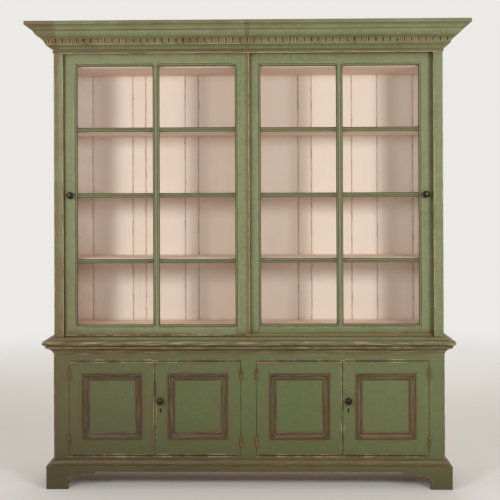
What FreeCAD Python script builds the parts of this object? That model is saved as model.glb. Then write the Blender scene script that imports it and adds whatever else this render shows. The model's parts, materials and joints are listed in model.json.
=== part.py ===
"""A painted two-part cupboard: a glazed upper case with sliding doors on a base with hinged doors.

All sizes are in millimetres. X runs to the right, Y to the back and Z up. The origin lies on the
floor, at the middle of the whole outline. A depth or setback is measured back from the front of
the cases, and a projection forward from it.
"""
import FreeCAD, Part
import math
import os

os.makedirs("parts", exist_ok=True)
Vector = FreeCAD.Vector

# Overall sizes
overall_height = 2285.0
base_width = 1926.0
upper_case_step = 3.0
carcass_depth = 400.0
cornice_projection = 119.0

# Boards
side_thickness = 24.0
board_thickness = 22.0
back_thickness = 15.0
back_rebate = 12.0
working_gap = 0.3

# Cornice, from the top down: crown, dentil course, bed moulding
cornice_height = 143.0
crown_height = 77.0
crown_cap_height = 17.0
crown_cap_step = 4.0
crown_arris_projection = 87.0
crown_arris_drop = 37.0
crown_arris_step = 3.0
crown_foot_projection = 51.0
crown_foot_height = 6.0
crown_top_wood = 26.0
dentil_height = 22.0
dentil_projection = 47.0
dentil_foot_projection = 34.0
dentil_pitch = 34.8
dentil_slot = 8.0
bed_fillet_height = 4.0
bed_cove_height = 21.0
bed_flat_projection = 3.0
bed_flat_height = 8.0
bead_height = 6.0
crown_hollow_share = 0.16
crown_round_share = 0.14
cove_share = 0.14
bead_share = 0.5

# Upper case
upper_side_top_drop = 30.0
stile_face_width = 47.0
upper_face_thickness = 17.0
sill_thickness = 15.0
sill_riser_thickness = 16.0
upper_floor_lift = 52.0
upper_ceiling_drop = 62.0
shelf_thickness = 22.0
bearer_size = 18.0
head_board_thickness = 18.0
head_board_lift = 21.0

# Sliding doors
door_thickness = 21.0
front_door_setback = 18.0
rear_door_setback = 40.5
rear_door_back_gap = 2.7
door_floor_gap = 2.0
door_head_lap = 10.0
door_side_gap = 0.5
door_meeting_lap = 8.0
outer_stile_width = 88.5
meeting_stile_width = 72.0
sliding_top_rail = 70.0
sliding_bottom_rail = 56.0
upright_bar_width = 34.0
cross_bar_width = 22.0
pane_rows = 4
ovolo_width = 9.0
ovolo_quirk = 1.5
glass_setback = 12.0
glass_rebate = 7.0
pane_thickness = 3.0
pane_edge_gap = 0.5
ovolo_share = 0.15
runner_width = 7.0
groove_width = 8.0
bottom_groove_depth = 9.0
top_groove_depth = 16.0
top_guide_entry = 6.0

# Base
skirt_projection = 31.0
skirt_height = 108.0
skirt_rise = 85.6
plinth_moulding_height = 29.0
bottom_rail_show = 20.0
base_opening_height = 466.0
top_rail_show = 31.0
waist_moulding_height = 49.0
base_top_thickness = 24.0
base_top_projection = 48.0
nosing_radius = 11.0
base_face_thickness = 22.0
base_stile_width = 76.0
door_stop_height = 8.0
carcass_foot_height = 92.0
foot_block_size = 60.0
base_shelf_share = 0.52
base_shelf_setback = 40.0
back_plank_count = 9

# Mouldings of the base
waist_fillet_projection = 35.0
waist_fillet_height = 13.0
waist_quirk = 4.0
waist_cove_projection = 24.0
waist_undercut = 3.0
seat_projection = 22.0
seat_top_width = 7.0
plinth_top_projection = 6.0
plinth_top_fillet = 3.0
plinth_cove_projection = 26.0
plinth_foot_fillet = 5.0
round_share = 0.207

# Outline of a bracket foot, as distances in from its outer corner and heights
foot_floor_width = 107.0
foot_cusp_place = 168.0
foot_cusp_height = 56.0
foot_spur_place = 185.0
foot_spur_height = 74.0
foot_step_start = 236.0
foot_step_end = 251.0
foot_bite_share = 0.45
foot_spur_share = 0.2

# Hinged doors
hinged_gap = 1.5
hinged_thickness = 21.5
hinged_stile_width = 65.0
hinged_top_rail = 63.0
hinged_bottom_rail = 79.0
panel_thickness = 8.0
panel_recess = 11.0
panel_groove_depth = 8.0
panel_play = 1.0
bolection_width = 34.0
bolection_quirk_width = 4.0
bolection_quirk_depth = 3.0
bolection_bead_width = 6.0
bolection_cove_width = 12.0
bolection_cove_depth = 8.0
bolection_round_width = 7.0
bolection_round_depth = 6.5
bolection_edge_depth = 9.5
bolection_ease = 1.8

# Hinges
hinge_length = 50.0
hinge_inset = 44.0
barrel_sides = 8
barrel_radius = 4.0
barrel_proud = 0.2
pin_radius = 2.0
pin_play = 0.05
leaf_thickness = 2.0
leaf_depth = 18.0
leaf_apart = 0.3
knuckle_gap = 0.2
knuckle_count = 3

# Knobs
knob_sides = 16
knob_radius = 17.0
knob_reach = 33.0
knob_neck_radius = 5.0
knob_neck_start = 4.0
knob_neck_end = 11.0
knob_rose_radius = 11.0
knob_rose_height = 2.0
knob_shank_radius = 3.5
knob_shank_length = 15.0
knob_band_radius_shares = (0.56, 0.88, 1.0, 0.97, 0.72, 0.3)
knob_band_reach_shares = (0.40, 0.50, 0.66, 0.82, 0.95, 1.0)
sliding_knob_inset = 34.0
hinged_knob_inset = 27.0
hinged_knob_height = 428.0

# Locks on the right-hand door of each pair
keyhole_height = 379.0
keyhole_radius = 4.5
keyhole_slot_width = 5.0
keyhole_length = 19.0
lock_width = 44.0
lock_height = 60.0
lock_depth = 10.0
lock_wall = 1.5
lock_bolt_height = 16.0
lock_bolt_length = 34.0
lock_bolt_play = 0.2
lock_throw = 9.0
mortice_spare = 1.5

# Edge bolts in the left-hand door of each pair
bolt_radius = 3.0
bolt_play = 0.1
bolt_length = 80.0
bolt_inset = 7.0
bolt_throw = 12.0
bolt_hole_spare = 4.0
bolt_plate_width = 12.0
bolt_plate_length = 66.0
bolt_plate_thickness = 1.5
bolt_plate_drop = 14.0
bolt_stud_size = 4.0
bolt_slot_play = 0.2

# Back planks of the upper case: where the joints lie, as shares of half the width
upper_plank_joint_shares = (
    -0.883, -0.656, -0.583, -0.36, -0.285, -0.061, 0.013, 0.274, 0.349, 0.575, 0.718, 0.918,
)
plank_chamfer = 2.5

cut_overrun = 1.0

# Places that follow from the sizes
front = (cornice_projection - carcass_depth) / 2
back = (cornice_projection + carcass_depth) / 2
base_half = base_width / 2
upper_half = base_half - upper_case_step
plinth_top = skirt_height + plinth_moulding_height
base_opening_floor = plinth_top + bottom_rail_show
base_opening_head = base_opening_floor + base_opening_height
waist_foot = base_opening_head + top_rail_show
base_top_floor = waist_foot + waist_moulding_height
base_height = base_top_floor + base_top_thickness
sill_top = base_height + sill_thickness
frieze_foot = overall_height - cornice_height
upper_side_top = overall_height - upper_side_top_drop
upper_floor = base_height + upper_floor_lift
upper_ceiling = frieze_foot - upper_ceiling_drop
upper_inner = upper_half - side_thickness
base_inner = base_half - side_thickness
half_board = board_thickness / 2
back_front = back - back_thickness
head_board_floor = frieze_foot + head_board_lift
riser_front = front + rear_door_setback + door_thickness + rear_door_back_gap
riser_back = riser_front + sill_riser_thickness
door_bottom = sill_top + door_floor_gap
door_top = frieze_foot + door_head_lap
sight_bottom = door_bottom + sliding_bottom_rail
sight_top = door_top - sliding_top_rail
sliding_knob_height = (sight_bottom + sight_top) / 2
pane_height = (sight_top - sight_bottom - (pane_rows - 1) * cross_bar_width) / pane_rows
cross_bar_levels = [
    sight_bottom + row * pane_height + (row - 0.5) * cross_bar_width for row in range(1, pane_rows)
]


def box(x0, x1, y0, y1, z0, z1):
    """A board that fills the space between two corners."""
    return Part.makeBox(x1 - x0, y1 - y0, z1 - z0, Vector(x0, y0, z0))


def face_of(points, place):
    """A flat face on (u, v) corners; a third number bends the side ending there, as rise over chord."""
    edges = []
    for start, end in zip(points[-1:] + points[:-1], points):
        a, b = place(start[0], start[1]), place(end[0], end[1])
        rise = end[2] if len(end) > 2 else 0
        if rise:
            middle_u = (start[0] + end[0]) / 2 - rise * (end[1] - start[1])
            middle_v = (start[1] + end[1]) / 2 + rise * (end[0] - start[0])
            edges.append(Part.Arc(a, place(middle_u, middle_v), b).toShape())
        else:
            edges.append(Part.LineSegment(a, b).toShape())
    return Part.Face(Part.Wire(edges))


def extruded(points, place, along):
    """A length of a section."""
    return face_of(points, place).extrude(along)


def plan_prism(corners, z0, z1):
    """An upright prism on a plan outline."""
    return extruded(corners, lambda x, y: Vector(x, y, z0), Vector(0, 0, z1 - z0))


def mirrored(shape):
    """The same piece on the other side of the middle."""
    return shape.mirror(Vector(0, 0, 0), Vector(1, 0, 0))


def cylinder(radius, length, start, direction):
    """A round bar or hole."""
    return Part.makeCylinder(radius, length, start, direction)


def ring_of(radius, sides, place):
    """Corners evenly round a centre, close enough to read as round at their size, with the first repeated."""
    turns = [2 * math.pi * (index % sides) / sides for index in range(sides + 1)]
    return [place(radius * math.cos(turn), radius * math.sin(turn)) for turn in turns]


def turned_in_flats(rings):
    """A closed solid through rings of corners, in flat facets, such as a knob."""
    faces = [Part.Face(Part.makePolygon(ring)) for ring in (rings[0], rings[-1])]
    for low, high in zip(rings, rings[1:]):
        for a, b, c, d in zip(low, low[1:], high[1:], high):
            faces.append(Part.Face(Part.makePolygon([a, b, c, d, a])))
    solid = Part.Solid(Part.Shell(faces))
    return solid if solid.Volume > 0 else solid.reversed()


def upright_bar_of(radius, length, start):
    """An upright bar in flats, such as a hinge barrel."""
    ring = ring_of(radius, barrel_sides, lambda u, v: start + Vector(u, v, 0))
    return Part.Face(Part.makePolygon(ring)).extrude(Vector(0, 0, length))


def save(name, solids):
    """Write one sub-part, whose pieces stay separate solids."""
    pieces = [solid for shape in solids for solid in shape.Solids]
    shape = pieces[0] if len(pieces) == 1 else Part.makeCompound(pieces)
    shape.exportStep("parts/" + name + ".step")


def mitred_course(section, half_width, slots=None):
    """A moulding round the front and both sides, as three lengths mitred at the front corners."""
    reach = max(point[0] for point in section)
    levels = [point[1] for point in section]
    low, high = min(levels) - cut_overrun, max(levels) + cut_overrun
    outer = half_width + reach
    nose = front - reach
    front_run = extruded(
        section, lambda u, v: Vector(-outer, front - u, v), Vector(2 * outer, 0, 0)
    )
    side_run = extruded(
        section, lambda u, v: Vector(half_width + u, back, v), Vector(0, nose - back, 0)
    )
    if slots:
        front_run = front_run.cut(slots[0])
        side_run = side_run.cut(slots[1])
    front_corners = [(-half_width, front), (half_width, front), (outer, nose), (-outer, nose)]
    side_corners = [(half_width, back), (half_width, front), (outer, nose), (outer, back)]
    front_run = front_run.common(plan_prism(front_corners, low, high))
    side_run = side_run.common(plan_prism(side_corners, low, high))
    return [front_run, side_run, mirrored(side_run)]


# Cornice
def crown_section():
    """Cap fillet, hollow, arris and round, on a raking back that leaves the top open behind."""
    top = overall_height
    foot = top - crown_height
    arris = top - crown_arris_drop
    cap = top - crown_cap_height
    return [
        (0, foot),
        (crown_foot_projection, foot),
        (crown_foot_projection, foot + crown_foot_height),
        (crown_arris_projection - crown_arris_step, arris - crown_arris_step, -crown_round_share),
        (crown_arris_projection, arris),
        (cornice_projection - crown_cap_step, cap, crown_hollow_share),
        (cornice_projection, cap),
        (cornice_projection, top),
        (cornice_projection - crown_top_wood, top),
        (0, foot + crown_top_wood),
    ]


def dentil_section():
    """The course that the dentils are cut in, whose face leans back towards its foot."""
    top = overall_height - crown_height
    foot = top - dentil_height
    return [(0, foot), (dentil_foot_projection, foot), (dentil_projection, top), (0, top)]


def dentil_slots():
    """The slots between the dentils, which run out where the leaning face meets their upright back."""
    top = overall_height - crown_height
    foot = top - dentil_height
    slot_nose = front - dentil_projection - cut_overrun
    slot_end = front - dentil_foot_projection
    front_length = 2 * (upper_half + dentil_projection) + dentil_slot
    front_count = round(front_length / dentil_pitch)
    pitch = front_length / front_count
    front_slots = []
    for index in range(1, front_count):
        middle = (index - front_count / 2) * pitch
        left, right = middle - dentil_slot / 2, middle + dentil_slot / 2
        front_slots.append(box(left, right, slot_nose, slot_end, foot, top + cut_overrun))
    side_slots = []
    slot_inner = upper_half + dentil_foot_projection
    slot_outer = upper_half + dentil_projection + cut_overrun
    for index in range(1, int((carcass_depth + dentil_projection) / pitch) + 1):
        middle = front - dentil_projection + index * pitch - dentil_slot / 2
        near, far = middle - dentil_slot / 2, middle + dentil_slot / 2
        side_slots.append(box(slot_inner, slot_outer, near, far, foot, top + cut_overrun))
    return front_slots, side_slots


def bed_section():
    """Fillet, cove, flat and bead below the dentils."""
    top = overall_height - crown_height - dentil_height
    fillet = top - bed_fillet_height
    cove = fillet - bed_cove_height
    flat = cove - bed_flat_height
    bead = flat - bead_height
    return [
        (0, bead),
        (bed_flat_projection, bead),
        (bed_flat_projection, flat, -bead_share),
        (bed_flat_projection, cove),
        (dentil_foot_projection, fillet, cove_share),
        (dentil_foot_projection, top),
        (0, top),
    ]


def make_cornice():
    save("cornice_crown", mitred_course(crown_section(), upper_half))
    save("dentil_course", mitred_course(dentil_section(), upper_half, dentil_slots()))
    save("cornice_bed_moulding", mitred_course(bed_section(), upper_half))


# Upper case
def make_upper_case():
    side = box(
        upper_inner, upper_half, front + upper_face_thickness, back, base_height, upper_side_top
    )
    rebate = box(
        upper_inner - cut_overrun,
        upper_inner + back_rebate,
        back_front,
        back + cut_overrun,
        base_height - cut_overrun,
        upper_side_top + cut_overrun,
    )
    side = side.cut(rebate)
    upright = box(-half_board, half_board, riser_back, back_front, upper_floor, upper_ceiling)
    save("upper_uprights", [side, mirrored(side), upright])

    floor = box(
        -upper_inner, upper_inner, riser_front, back_front, upper_floor - board_thickness, upper_floor
    )
    ceiling = box(
        -upper_inner,
        upper_inner,
        riser_front,
        back_front,
        upper_ceiling,
        upper_ceiling + board_thickness,
    )
    save("upper_floor_and_ceiling", [floor, ceiling])

    opening_half = upper_half - stile_face_width
    case_front = front + upper_face_thickness
    sill = box(-upper_inner, upper_inner, case_front, riser_back, base_height, sill_top)
    sill = sill.fuse(box(-opening_half, opening_half, front, case_front, base_height, sill_top))
    riser = box(
        -upper_inner, upper_inner, riser_front, riser_back, sill_top, upper_floor - board_thickness
    )
    save("upper_sill", [sill.removeSplitter(), riser])

    head = box(
        -upper_inner,
        upper_inner,
        case_front,
        riser_back,
        head_board_floor,
        head_board_floor + head_board_thickness,
    )
    head_rail = box(
        -upper_inner,
        upper_inner,
        riser_front,
        riser_back,
        upper_ceiling + board_thickness,
        head_board_floor,
    )
    save("door_head", [head, head_rail])

    stile = box(opening_half, upper_half, front, case_front, base_height, frieze_foot)
    frieze = box(-upper_half, upper_half, front, case_front, frieze_foot, upper_side_top)
    save("upper_face_frame", [stile, mirrored(stile), frieze])


def make_runners():
    """Strips in the sill and under the head that enter the grooves of the sliding doors."""
    strips = []
    for setback in (front_door_setback, rear_door_setback):
        middle = front + setback + door_thickness / 2
        near, far = middle - runner_width / 2, middle + runner_width / 2
        runner_top = door_bottom + bottom_groove_depth - working_gap
        guide_foot = door_top - top_guide_entry
        strips.append(box(-upper_inner, upper_inner, near, far, sill_top, runner_top))
        strips.append(box(-upper_inner, upper_inner, near, far, guide_foot, head_board_floor))
    save("door_runners", strips)


def shelf_pair(inner, near, level, thickness):
    """Two shelves side by side, between the sides and the middle upright, centred on a level."""
    low, high = level - thickness / 2, level + thickness / 2
    right = box(half_board, inner, near, back_front, low, high)
    return [right, mirrored(right)]


def bearer_set(inner, near, level, thickness):
    """The four battens that a pair of shelves rests on."""
    high = level - thickness / 2
    low = high - bearer_size
    outer = box(inner - bearer_size, inner, near, back_front, low, high)
    middle = box(half_board, half_board + bearer_size, near, back_front, low, high)
    return [outer, middle, mirrored(outer), mirrored(middle)]


def make_shelves():
    shelves, bearers = [], []
    for level in cross_bar_levels:
        shelves += shelf_pair(upper_inner, riser_back, level, shelf_thickness)
        bearers += bearer_set(upper_inner, riser_back + bearer_size, level, shelf_thickness)
    save("upper_shelves", shelves)

    base_near = front + base_face_thickness + base_shelf_setback
    base_level = base_opening_floor + base_shelf_share * base_opening_height
    save("base_shelves", shelf_pair(base_inner, base_near, base_level, board_thickness))
    bearers += bearer_set(base_inner, base_near + bearer_size, base_level, board_thickness)
    save("shelf_bearers", bearers)


def plank(left, right, low, high):
    """One back plank with eased front arrises, which leave a small vee at each joint."""
    return plan_prism(
        [
            (left, back),
            (left, back_front + plank_chamfer),
            (left + plank_chamfer, back_front),
            (right - plank_chamfer, back_front),
            (right, back_front + plank_chamfer),
            (right, back),
        ],
        low,
        high,
    )


def plank_row(half_width, joints, low, high):
    """A boarded back, from edge to edge."""
    edges = [-half_width] + joints + [half_width]
    return [plank(left, right, low, high) for left, right in zip(edges, edges[1:])]


def make_backs():
    upper_back_half = upper_inner + back_rebate
    joints = [share * upper_back_half for share in upper_plank_joint_shares]
    save("upper_back_planks", plank_row(upper_back_half, joints, base_height, upper_side_top))

    base_back_half = base_inner + back_rebate
    width = 2 * base_back_half / back_plank_count
    joints = [-base_back_half + index * width for index in range(1, back_plank_count)]
    save("base_back_planks", plank_row(base_back_half, joints, carcass_foot_height, base_top_floor))


# Base
def make_base_case():
    case_front = front + base_face_thickness
    side = box(base_inner, base_half, case_front, back, carcass_foot_height, base_top_floor)
    rebate = box(
        base_inner - cut_overrun,
        base_inner + back_rebate,
        back_front,
        back + cut_overrun,
        carcass_foot_height - cut_overrun,
        base_top_floor + cut_overrun,
    )
    side = side.cut(rebate)
    floor_top = base_opening_floor + door_stop_height
    upright = box(-half_board, half_board, case_front, back_front, floor_top, base_top_floor)
    save("base_uprights", [side, mirrored(side), upright])

    floor = box(
        -base_inner, base_inner, case_front, back_front, floor_top - board_thickness, floor_top
    )
    save("base_floor", [floor])

    reach = base_half + base_top_projection
    top = box(-reach, reach, front - base_top_projection, back, base_top_floor, base_height)
    nosed = [edge for edge in top.Edges if is_nosed(edge, reach)]
    save("base_top", [top.makeFillet(nosing_radius, nosed)])


def is_nosed(edge, reach):
    """Whether a level edge of the base's top is one of those along its front and sides."""
    box_of = edge.BoundBox
    level = box_of.ZLength < working_gap
    at_front = box_of.YMax < front
    at_side = box_of.XLength < working_gap and abs(box_of.XMax) > reach - working_gap
    return level and (at_front or at_side)


def make_base_face():
    case_front = front + base_face_thickness
    opening_outer = base_half - base_stile_width
    opening_inner = base_stile_width / 2
    outer = box(opening_outer, base_half, front, case_front, carcass_foot_height, base_top_floor)
    middle = box(
        -opening_inner, opening_inner, front, case_front, carcass_foot_height, base_top_floor
    )
    top_rail = box(
        opening_inner, opening_outer, front, case_front, base_opening_head, base_top_floor
    )
    bottom_rail = box(
        opening_inner, opening_outer, front, case_front, carcass_foot_height, base_opening_floor
    )
    pieces = [outer, mirrored(outer), middle]
    pieces += [top_rail, mirrored(top_rail), bottom_rail, mirrored(bottom_rail)]
    cutters = [leaf_recess(door, level, False) for door in hinged_doors for level in hinge_levels]
    cutters += [bolt_bore(door) for door in hinged_doors if not door.has_lock]
    save("base_face_frame", [piece.cut(cutters) for piece in pieces])


def waist_section():
    """Cove and fillet under the base's top."""
    fillet_foot = base_top_floor - waist_fillet_height
    cove_top = fillet_foot - waist_quirk
    return [
        (0, waist_foot),
        (waist_cove_projection, cove_top, cove_share),
        (waist_fillet_projection, fillet_foot),
        (waist_fillet_projection, base_top_floor - waist_undercut),
        (waist_fillet_projection - waist_undercut, base_top_floor),
        (0, base_top_floor),
    ]


def seat_section():
    """Quarter round on the base's top, which holds the upper case in its place."""
    return [
        (0, base_height),
        (seat_projection, base_height),
        (seat_top_width, sill_top, -round_share),
        (0, sill_top),
    ]


def plinth_section():
    """Fillet and cove between the case and the skirt."""
    return [
        (0, skirt_height),
        (skirt_projection, skirt_height),
        (skirt_projection, skirt_height + plinth_foot_fillet),
        (plinth_cove_projection, skirt_height + plinth_foot_fillet),
        (plinth_top_projection, plinth_top - plinth_top_fillet, cove_share),
        (plinth_top_projection, plinth_top),
        (0, plinth_top),
    ]


def foot_outline(length):
    """The inside edge of one bracket foot, from the floor up, measured in from the board's end."""
    points = [
        (foot_floor_width, 0),
        (foot_cusp_place, foot_cusp_height, foot_bite_share),
        (foot_spur_place, foot_spur_height, foot_spur_share),
    ]
    if length > 2 * foot_step_end:
        points += [(foot_step_start, foot_spur_height), (foot_step_end, skirt_rise, foot_spur_share)]
    return points


def skirt_outline(length):
    """One skirt board with a bracket foot cut at each end."""
    rising = foot_outline(length)
    falling = []
    for index in range(len(rising) - 1, -1, -1):
        after = rising[index + 1] if index + 1 < len(rising) else (0, 0, 0)
        bend = (after[2],) if len(after) > 2 and index + 1 < len(rising) else ()
        falling.append((length - rising[index][0], rising[index][1]) + bend)
    return [(0, 0)] + rising + falling + [(length, 0), (length, skirt_height), (0, skirt_height)]


def make_plinth():
    save("waist_moulding", mitred_course(waist_section(), base_half))
    save("seat_moulding", mitred_course(seat_section(), upper_half))
    save("plinth_moulding", mitred_course(plinth_section(), base_half))

    outer = base_half + skirt_projection
    nose = front - skirt_projection
    front_board = extruded(
        skirt_outline(2 * outer),
        lambda u, v: Vector(u - outer, nose, v),
        Vector(0, skirt_projection, 0),
    )
    side_board = extruded(
        skirt_outline(back - nose),
        lambda u, v: Vector(base_half, nose + u, v),
        Vector(skirt_projection, 0, 0),
    )
    front_corners = [(-base_half, front), (base_half, front), (outer, nose), (-outer, nose)]
    side_corners = [(base_half, back), (base_half, front), (outer, nose), (outer, back)]
    front_board = front_board.common(plan_prism(front_corners, 0, skirt_height))
    side_board = side_board.common(plan_prism(side_corners, 0, skirt_height))
    save("bracket_skirt", [front_board, side_board, mirrored(side_board)])

    blocks = []
    for near in (front, back - foot_block_size):
        block = box(
            base_half - foot_block_size,
            base_half,
            near,
            near + foot_block_size,
            0,
            carcass_foot_height,
        )
        blocks += [block, mirrored(block)]
    save("foot_blocks", blocks)


# Knobs
def turned_forward(profile, x, y, z):
    """A turned piece on a line that runs forward; its profile is in pairs of radius and reach."""
    rings = [
        ring_of(radius, knob_sides, lambda u, v: Vector(x + u, y - reach, z + v))
        for radius, reach in profile
    ]
    return turned_in_flats(rings)


def knob(x, y, z):
    """A turned knob on a rose, standing forward of a face, with its shank in the wood."""
    shank = [(knob_shank_radius, -knob_shank_length), (knob_shank_radius, 0)]
    rose = [(knob_rose_radius, 0), (knob_rose_radius, knob_rose_height)]
    neck = [(knob_neck_radius, knob_neck_start), (knob_neck_radius, knob_neck_end)]
    head = [
        (knob_radius * radius_share, knob_reach * reach_share)
        for radius_share, reach_share in zip(knob_band_radius_shares, knob_band_reach_shares)
    ]
    return turned_forward(shank + rose + neck + head, x, y, z)


def shank_hole(x, y, z):
    """The hole that a knob's shank fills."""
    return turned_forward([(knob_shank_radius, -knob_shank_length), (knob_shank_radius, 0)], x, y, z)


# Sliding doors
def sash_section(width, both_edges):
    """A sash member from its plain edge to its sight edge: ovolo in front, glass rebate behind."""
    sight = [
        (width - glass_rebate, door_thickness),
        (width - glass_rebate, glass_setback),
        (width, glass_setback),
        (width, ovolo_width),
        (width - ovolo_width, ovolo_quirk, ovolo_share),
        (width - ovolo_width, 0),
    ]
    if not both_edges:
        return [(0, 0), (0, door_thickness)] + sight
    return [
        (ovolo_width, 0),
        (ovolo_width, ovolo_quirk),
        (0, ovolo_width, ovolo_share),
        (0, glass_setback),
        (glass_rebate, glass_setback),
        (glass_rebate, door_thickness),
    ] + sight


def upright_member(x, width, setback, low, high, towards, both_edges=False):
    """A sash upright whose section runs from x in the direction of towards, +1 or -1."""
    y = front + setback
    return extruded(
        sash_section(width, both_edges),
        lambda u, v: Vector(x + towards * u, y + v, low),
        Vector(0, 0, high - low),
    )


def cross_member(z, width, setback, left, right, towards, both_edges=False):
    """A sash rail whose section runs from z in the direction of towards, +1 or -1."""
    y = front + setback
    return extruded(
        sash_section(width, both_edges),
        lambda u, v: Vector(left, y + v, z + towards * u),
        Vector(right - left, 0, 0),
    )


def make_sliding_door(side, setback, towards):
    """One glazed door; towards is +1 where its outer edge lies on the left and -1 where on the right."""
    name = "glass_door_" + side
    outer_edge = -towards * (upper_inner - door_side_gap)
    meeting_edge = towards * door_meeting_lap
    outer_sight = outer_edge + towards * outer_stile_width
    meeting_sight = meeting_edge - towards * meeting_stile_width
    left_sight, right_sight = sorted((outer_sight, meeting_sight))
    middle = (left_sight + right_sight) / 2
    bar_left, bar_right = middle - upright_bar_width / 2, middle + upright_bar_width / 2
    y = front + setback

    outer_stile = upright_member(outer_edge, outer_stile_width, setback, door_bottom, door_top, towards)
    meeting_stile = upright_member(
        meeting_edge, meeting_stile_width, setback, door_bottom, door_top, -towards
    )
    rail_left, rail_right = left_sight - ovolo_width, right_sight + ovolo_width
    bottom_rail = cross_member(door_bottom, sliding_bottom_rail, setback, rail_left, rail_right, 1)
    top_rail = cross_member(door_top, sliding_top_rail, setback, rail_left, rail_right, -1)
    stiles = [outer_stile, meeting_stile]
    rails = [rail.cut(stiles) for rail in (bottom_rail, top_rail)]

    upright_bar = upright_member(
        bar_left,
        upright_bar_width,
        setback,
        sight_bottom - ovolo_width,
        sight_top + ovolo_width,
        1,
        True,
    ).cut(rails)
    cross_bars = []
    for level in cross_bar_levels:
        foot = level - cross_bar_width / 2
        for left, right in ((left_sight, bar_left), (bar_right, right_sight)):
            bar = cross_member(
                foot, cross_bar_width, setback, left - ovolo_width, right + ovolo_width, 1, True
            )
            cross_bars.append(bar.cut(stiles + [upright_bar]))
    save(name + "_glazing_bars", [upright_bar] + cross_bars)

    door_left, door_right = sorted((outer_edge, meeting_edge))
    groove_near = y + (door_thickness - groove_width) / 2
    groove_far = groove_near + groove_width
    grooves = [
        box(door_left, door_right, groove_near, groove_far, door_bottom, door_bottom + bottom_groove_depth),
        box(door_left, door_right, groove_near, groove_far, door_top - top_groove_depth, door_top),
    ]
    knob_x = towards * (sliding_knob_inset - (upper_half - stile_face_width))
    shank = shank_hole(knob_x, y, sliding_knob_height)
    save(name + "_frame", [member.cut(grooves + [shank]) for member in stiles + rails])
    save(name + "_knob", [knob(knob_x, y, sliding_knob_height)])

    panes, putties = [], []
    for row in range(pane_rows):
        foot = sight_bottom + row * (pane_height + cross_bar_width)
        for left, right in ((left_sight, bar_left), (bar_right, right_sight)):
            panes.append(pane(left, right, y, foot))
            putties.append(putty(left, right, y, foot))
    save(name + "_panes", panes)
    save(name + "_putty", putties)


def pane(left, right, y, foot):
    """One sheet of glass in its rebate."""
    margin = glass_rebate - pane_edge_gap
    near = y + glass_setback
    return box(
        left - margin, right + margin, near, near + pane_thickness, foot - margin, foot + pane_height + margin
    )


def putty(left, right, y, foot):
    """The bevelled fillet of putty that holds one sheet from behind."""
    near, far = y + glass_setback + pane_thickness, y + door_thickness
    head = foot + pane_height
    filled = box(
        left - glass_rebate, right + glass_rebate, near, far, foot - glass_rebate, head + glass_rebate
    )

    def rectangle(margin, depth):
        x0, x1, z0, z1 = left - margin, right + margin, foot - margin, head + margin
        corners = [(x0, z0), (x1, z0), (x1, z1), (x0, z1), (x0, z0)]
        return Part.makePolygon([Vector(x, depth, z) for x, z in corners])

    opening = Part.makeLoft([rectangle(0, near), rectangle(glass_rebate, far)], True, True)
    return filled.cut(opening)


# Hinged doors
class HingedDoor:
    """Where one door of a pair lies: its edges, its hinged side and what it carries."""

    def __init__(self, number, left, right, hinged_left):
        self.name = "base_door_" + str(number)
        self.left = left
        self.right = right
        self.has_lock = not hinged_left
        self.low = base_opening_floor + hinged_gap
        self.high = base_opening_head - hinged_gap
        self.inward = 1 if hinged_left else -1
        self.hinge_edge = left if hinged_left else right
        self.free_edge = right if hinged_left else left


def lay_out_doors():
    """Two pairs, each filling one opening with an equal gap all round and between."""
    opening_inner = base_stile_width / 2
    opening_outer = base_half - base_stile_width
    width = (opening_outer - opening_inner - 3 * hinged_gap) / 2
    doors = []
    for pair, start in enumerate((-opening_outer, opening_inner)):
        left = start + hinged_gap
        doors.append(HingedDoor(2 * pair + 1, left, left + width, True))
        left += width + hinged_gap
        doors.append(HingedDoor(2 * pair + 2, left, left + width, False))
    return doors


hinged_doors = lay_out_doors()
hinge_levels = (
    base_opening_head - hinge_inset - hinge_length / 2,
    base_opening_floor + hinge_inset + hinge_length / 2,
)
leaf_let_in = leaf_thickness - (hinged_gap - leaf_apart) / 2
pin_y = front - barrel_radius - barrel_proud
knuckle_length = (hinge_length - (knuckle_count - 1) * knuckle_gap) / knuckle_count


def pin_x(door):
    """The line of a door's hinge pins, in the middle of its gap."""
    return door.hinge_edge - door.inward * hinged_gap / 2


def leaf_recess(door, level, moving):
    """The sinking for a hinge leaf in the edge of a door, or in the post that it hangs from."""
    edge = door.hinge_edge if moving else door.hinge_edge - door.inward * hinged_gap
    depth = door.inward * leaf_let_in * (1 if moving else -1)
    x0, x1 = sorted((edge, edge + depth))
    half = hinge_length / 2
    return box(x0, x1, front - cut_overrun, front + leaf_depth, level - half, level + half)


def leaf_plate(door, moving, y0, y1, z0, z1):
    """A stretch of a hinge leaf, between its own face and the middle of the gap."""
    sense = door.inward if moving else -door.inward
    inner = pin_x(door) + sense * leaf_apart / 2
    x0, x1 = sorted((inner, inner + sense * leaf_thickness))
    return box(x0, x1, y0, y1, z0, z1)


def hinge_leaf(door, level, moving):
    """One leaf: the moving one has the middle knuckle, the fixed one the outer two, which hold the pin."""
    foot = level - hinge_length / 2
    head = level + hinge_length / 2
    plate = leaf_plate(door, moving, front, front + leaf_depth, foot, head)
    middle_foot = foot + knuckle_length + knuckle_gap
    ends = (foot, head - knuckle_length)
    starts = (middle_foot,) if moving else ends
    for start in starts:
        tab = leaf_plate(door, moving, pin_y, front, start, start + knuckle_length)
        barrel = upright_bar_of(barrel_radius, knuckle_length, Vector(pin_x(door), pin_y, start))
        plate = plate.fuse([tab, barrel])
    if moving:
        bore_radius = (pin_radius + pin_play) / math.cos(math.pi / barrel_sides)
        bore_foot = Vector(pin_x(door), pin_y, foot)
        return plate.cut(upright_bar_of(bore_radius, hinge_length, bore_foot)).removeSplitter()
    pin_foot = Vector(pin_x(door), pin_y, foot + knuckle_length / 2)
    pin = cylinder(pin_radius, hinge_length - knuckle_length, pin_foot, Vector(0, 0, 1))
    return plate.fuse(pin).removeSplitter()


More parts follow.
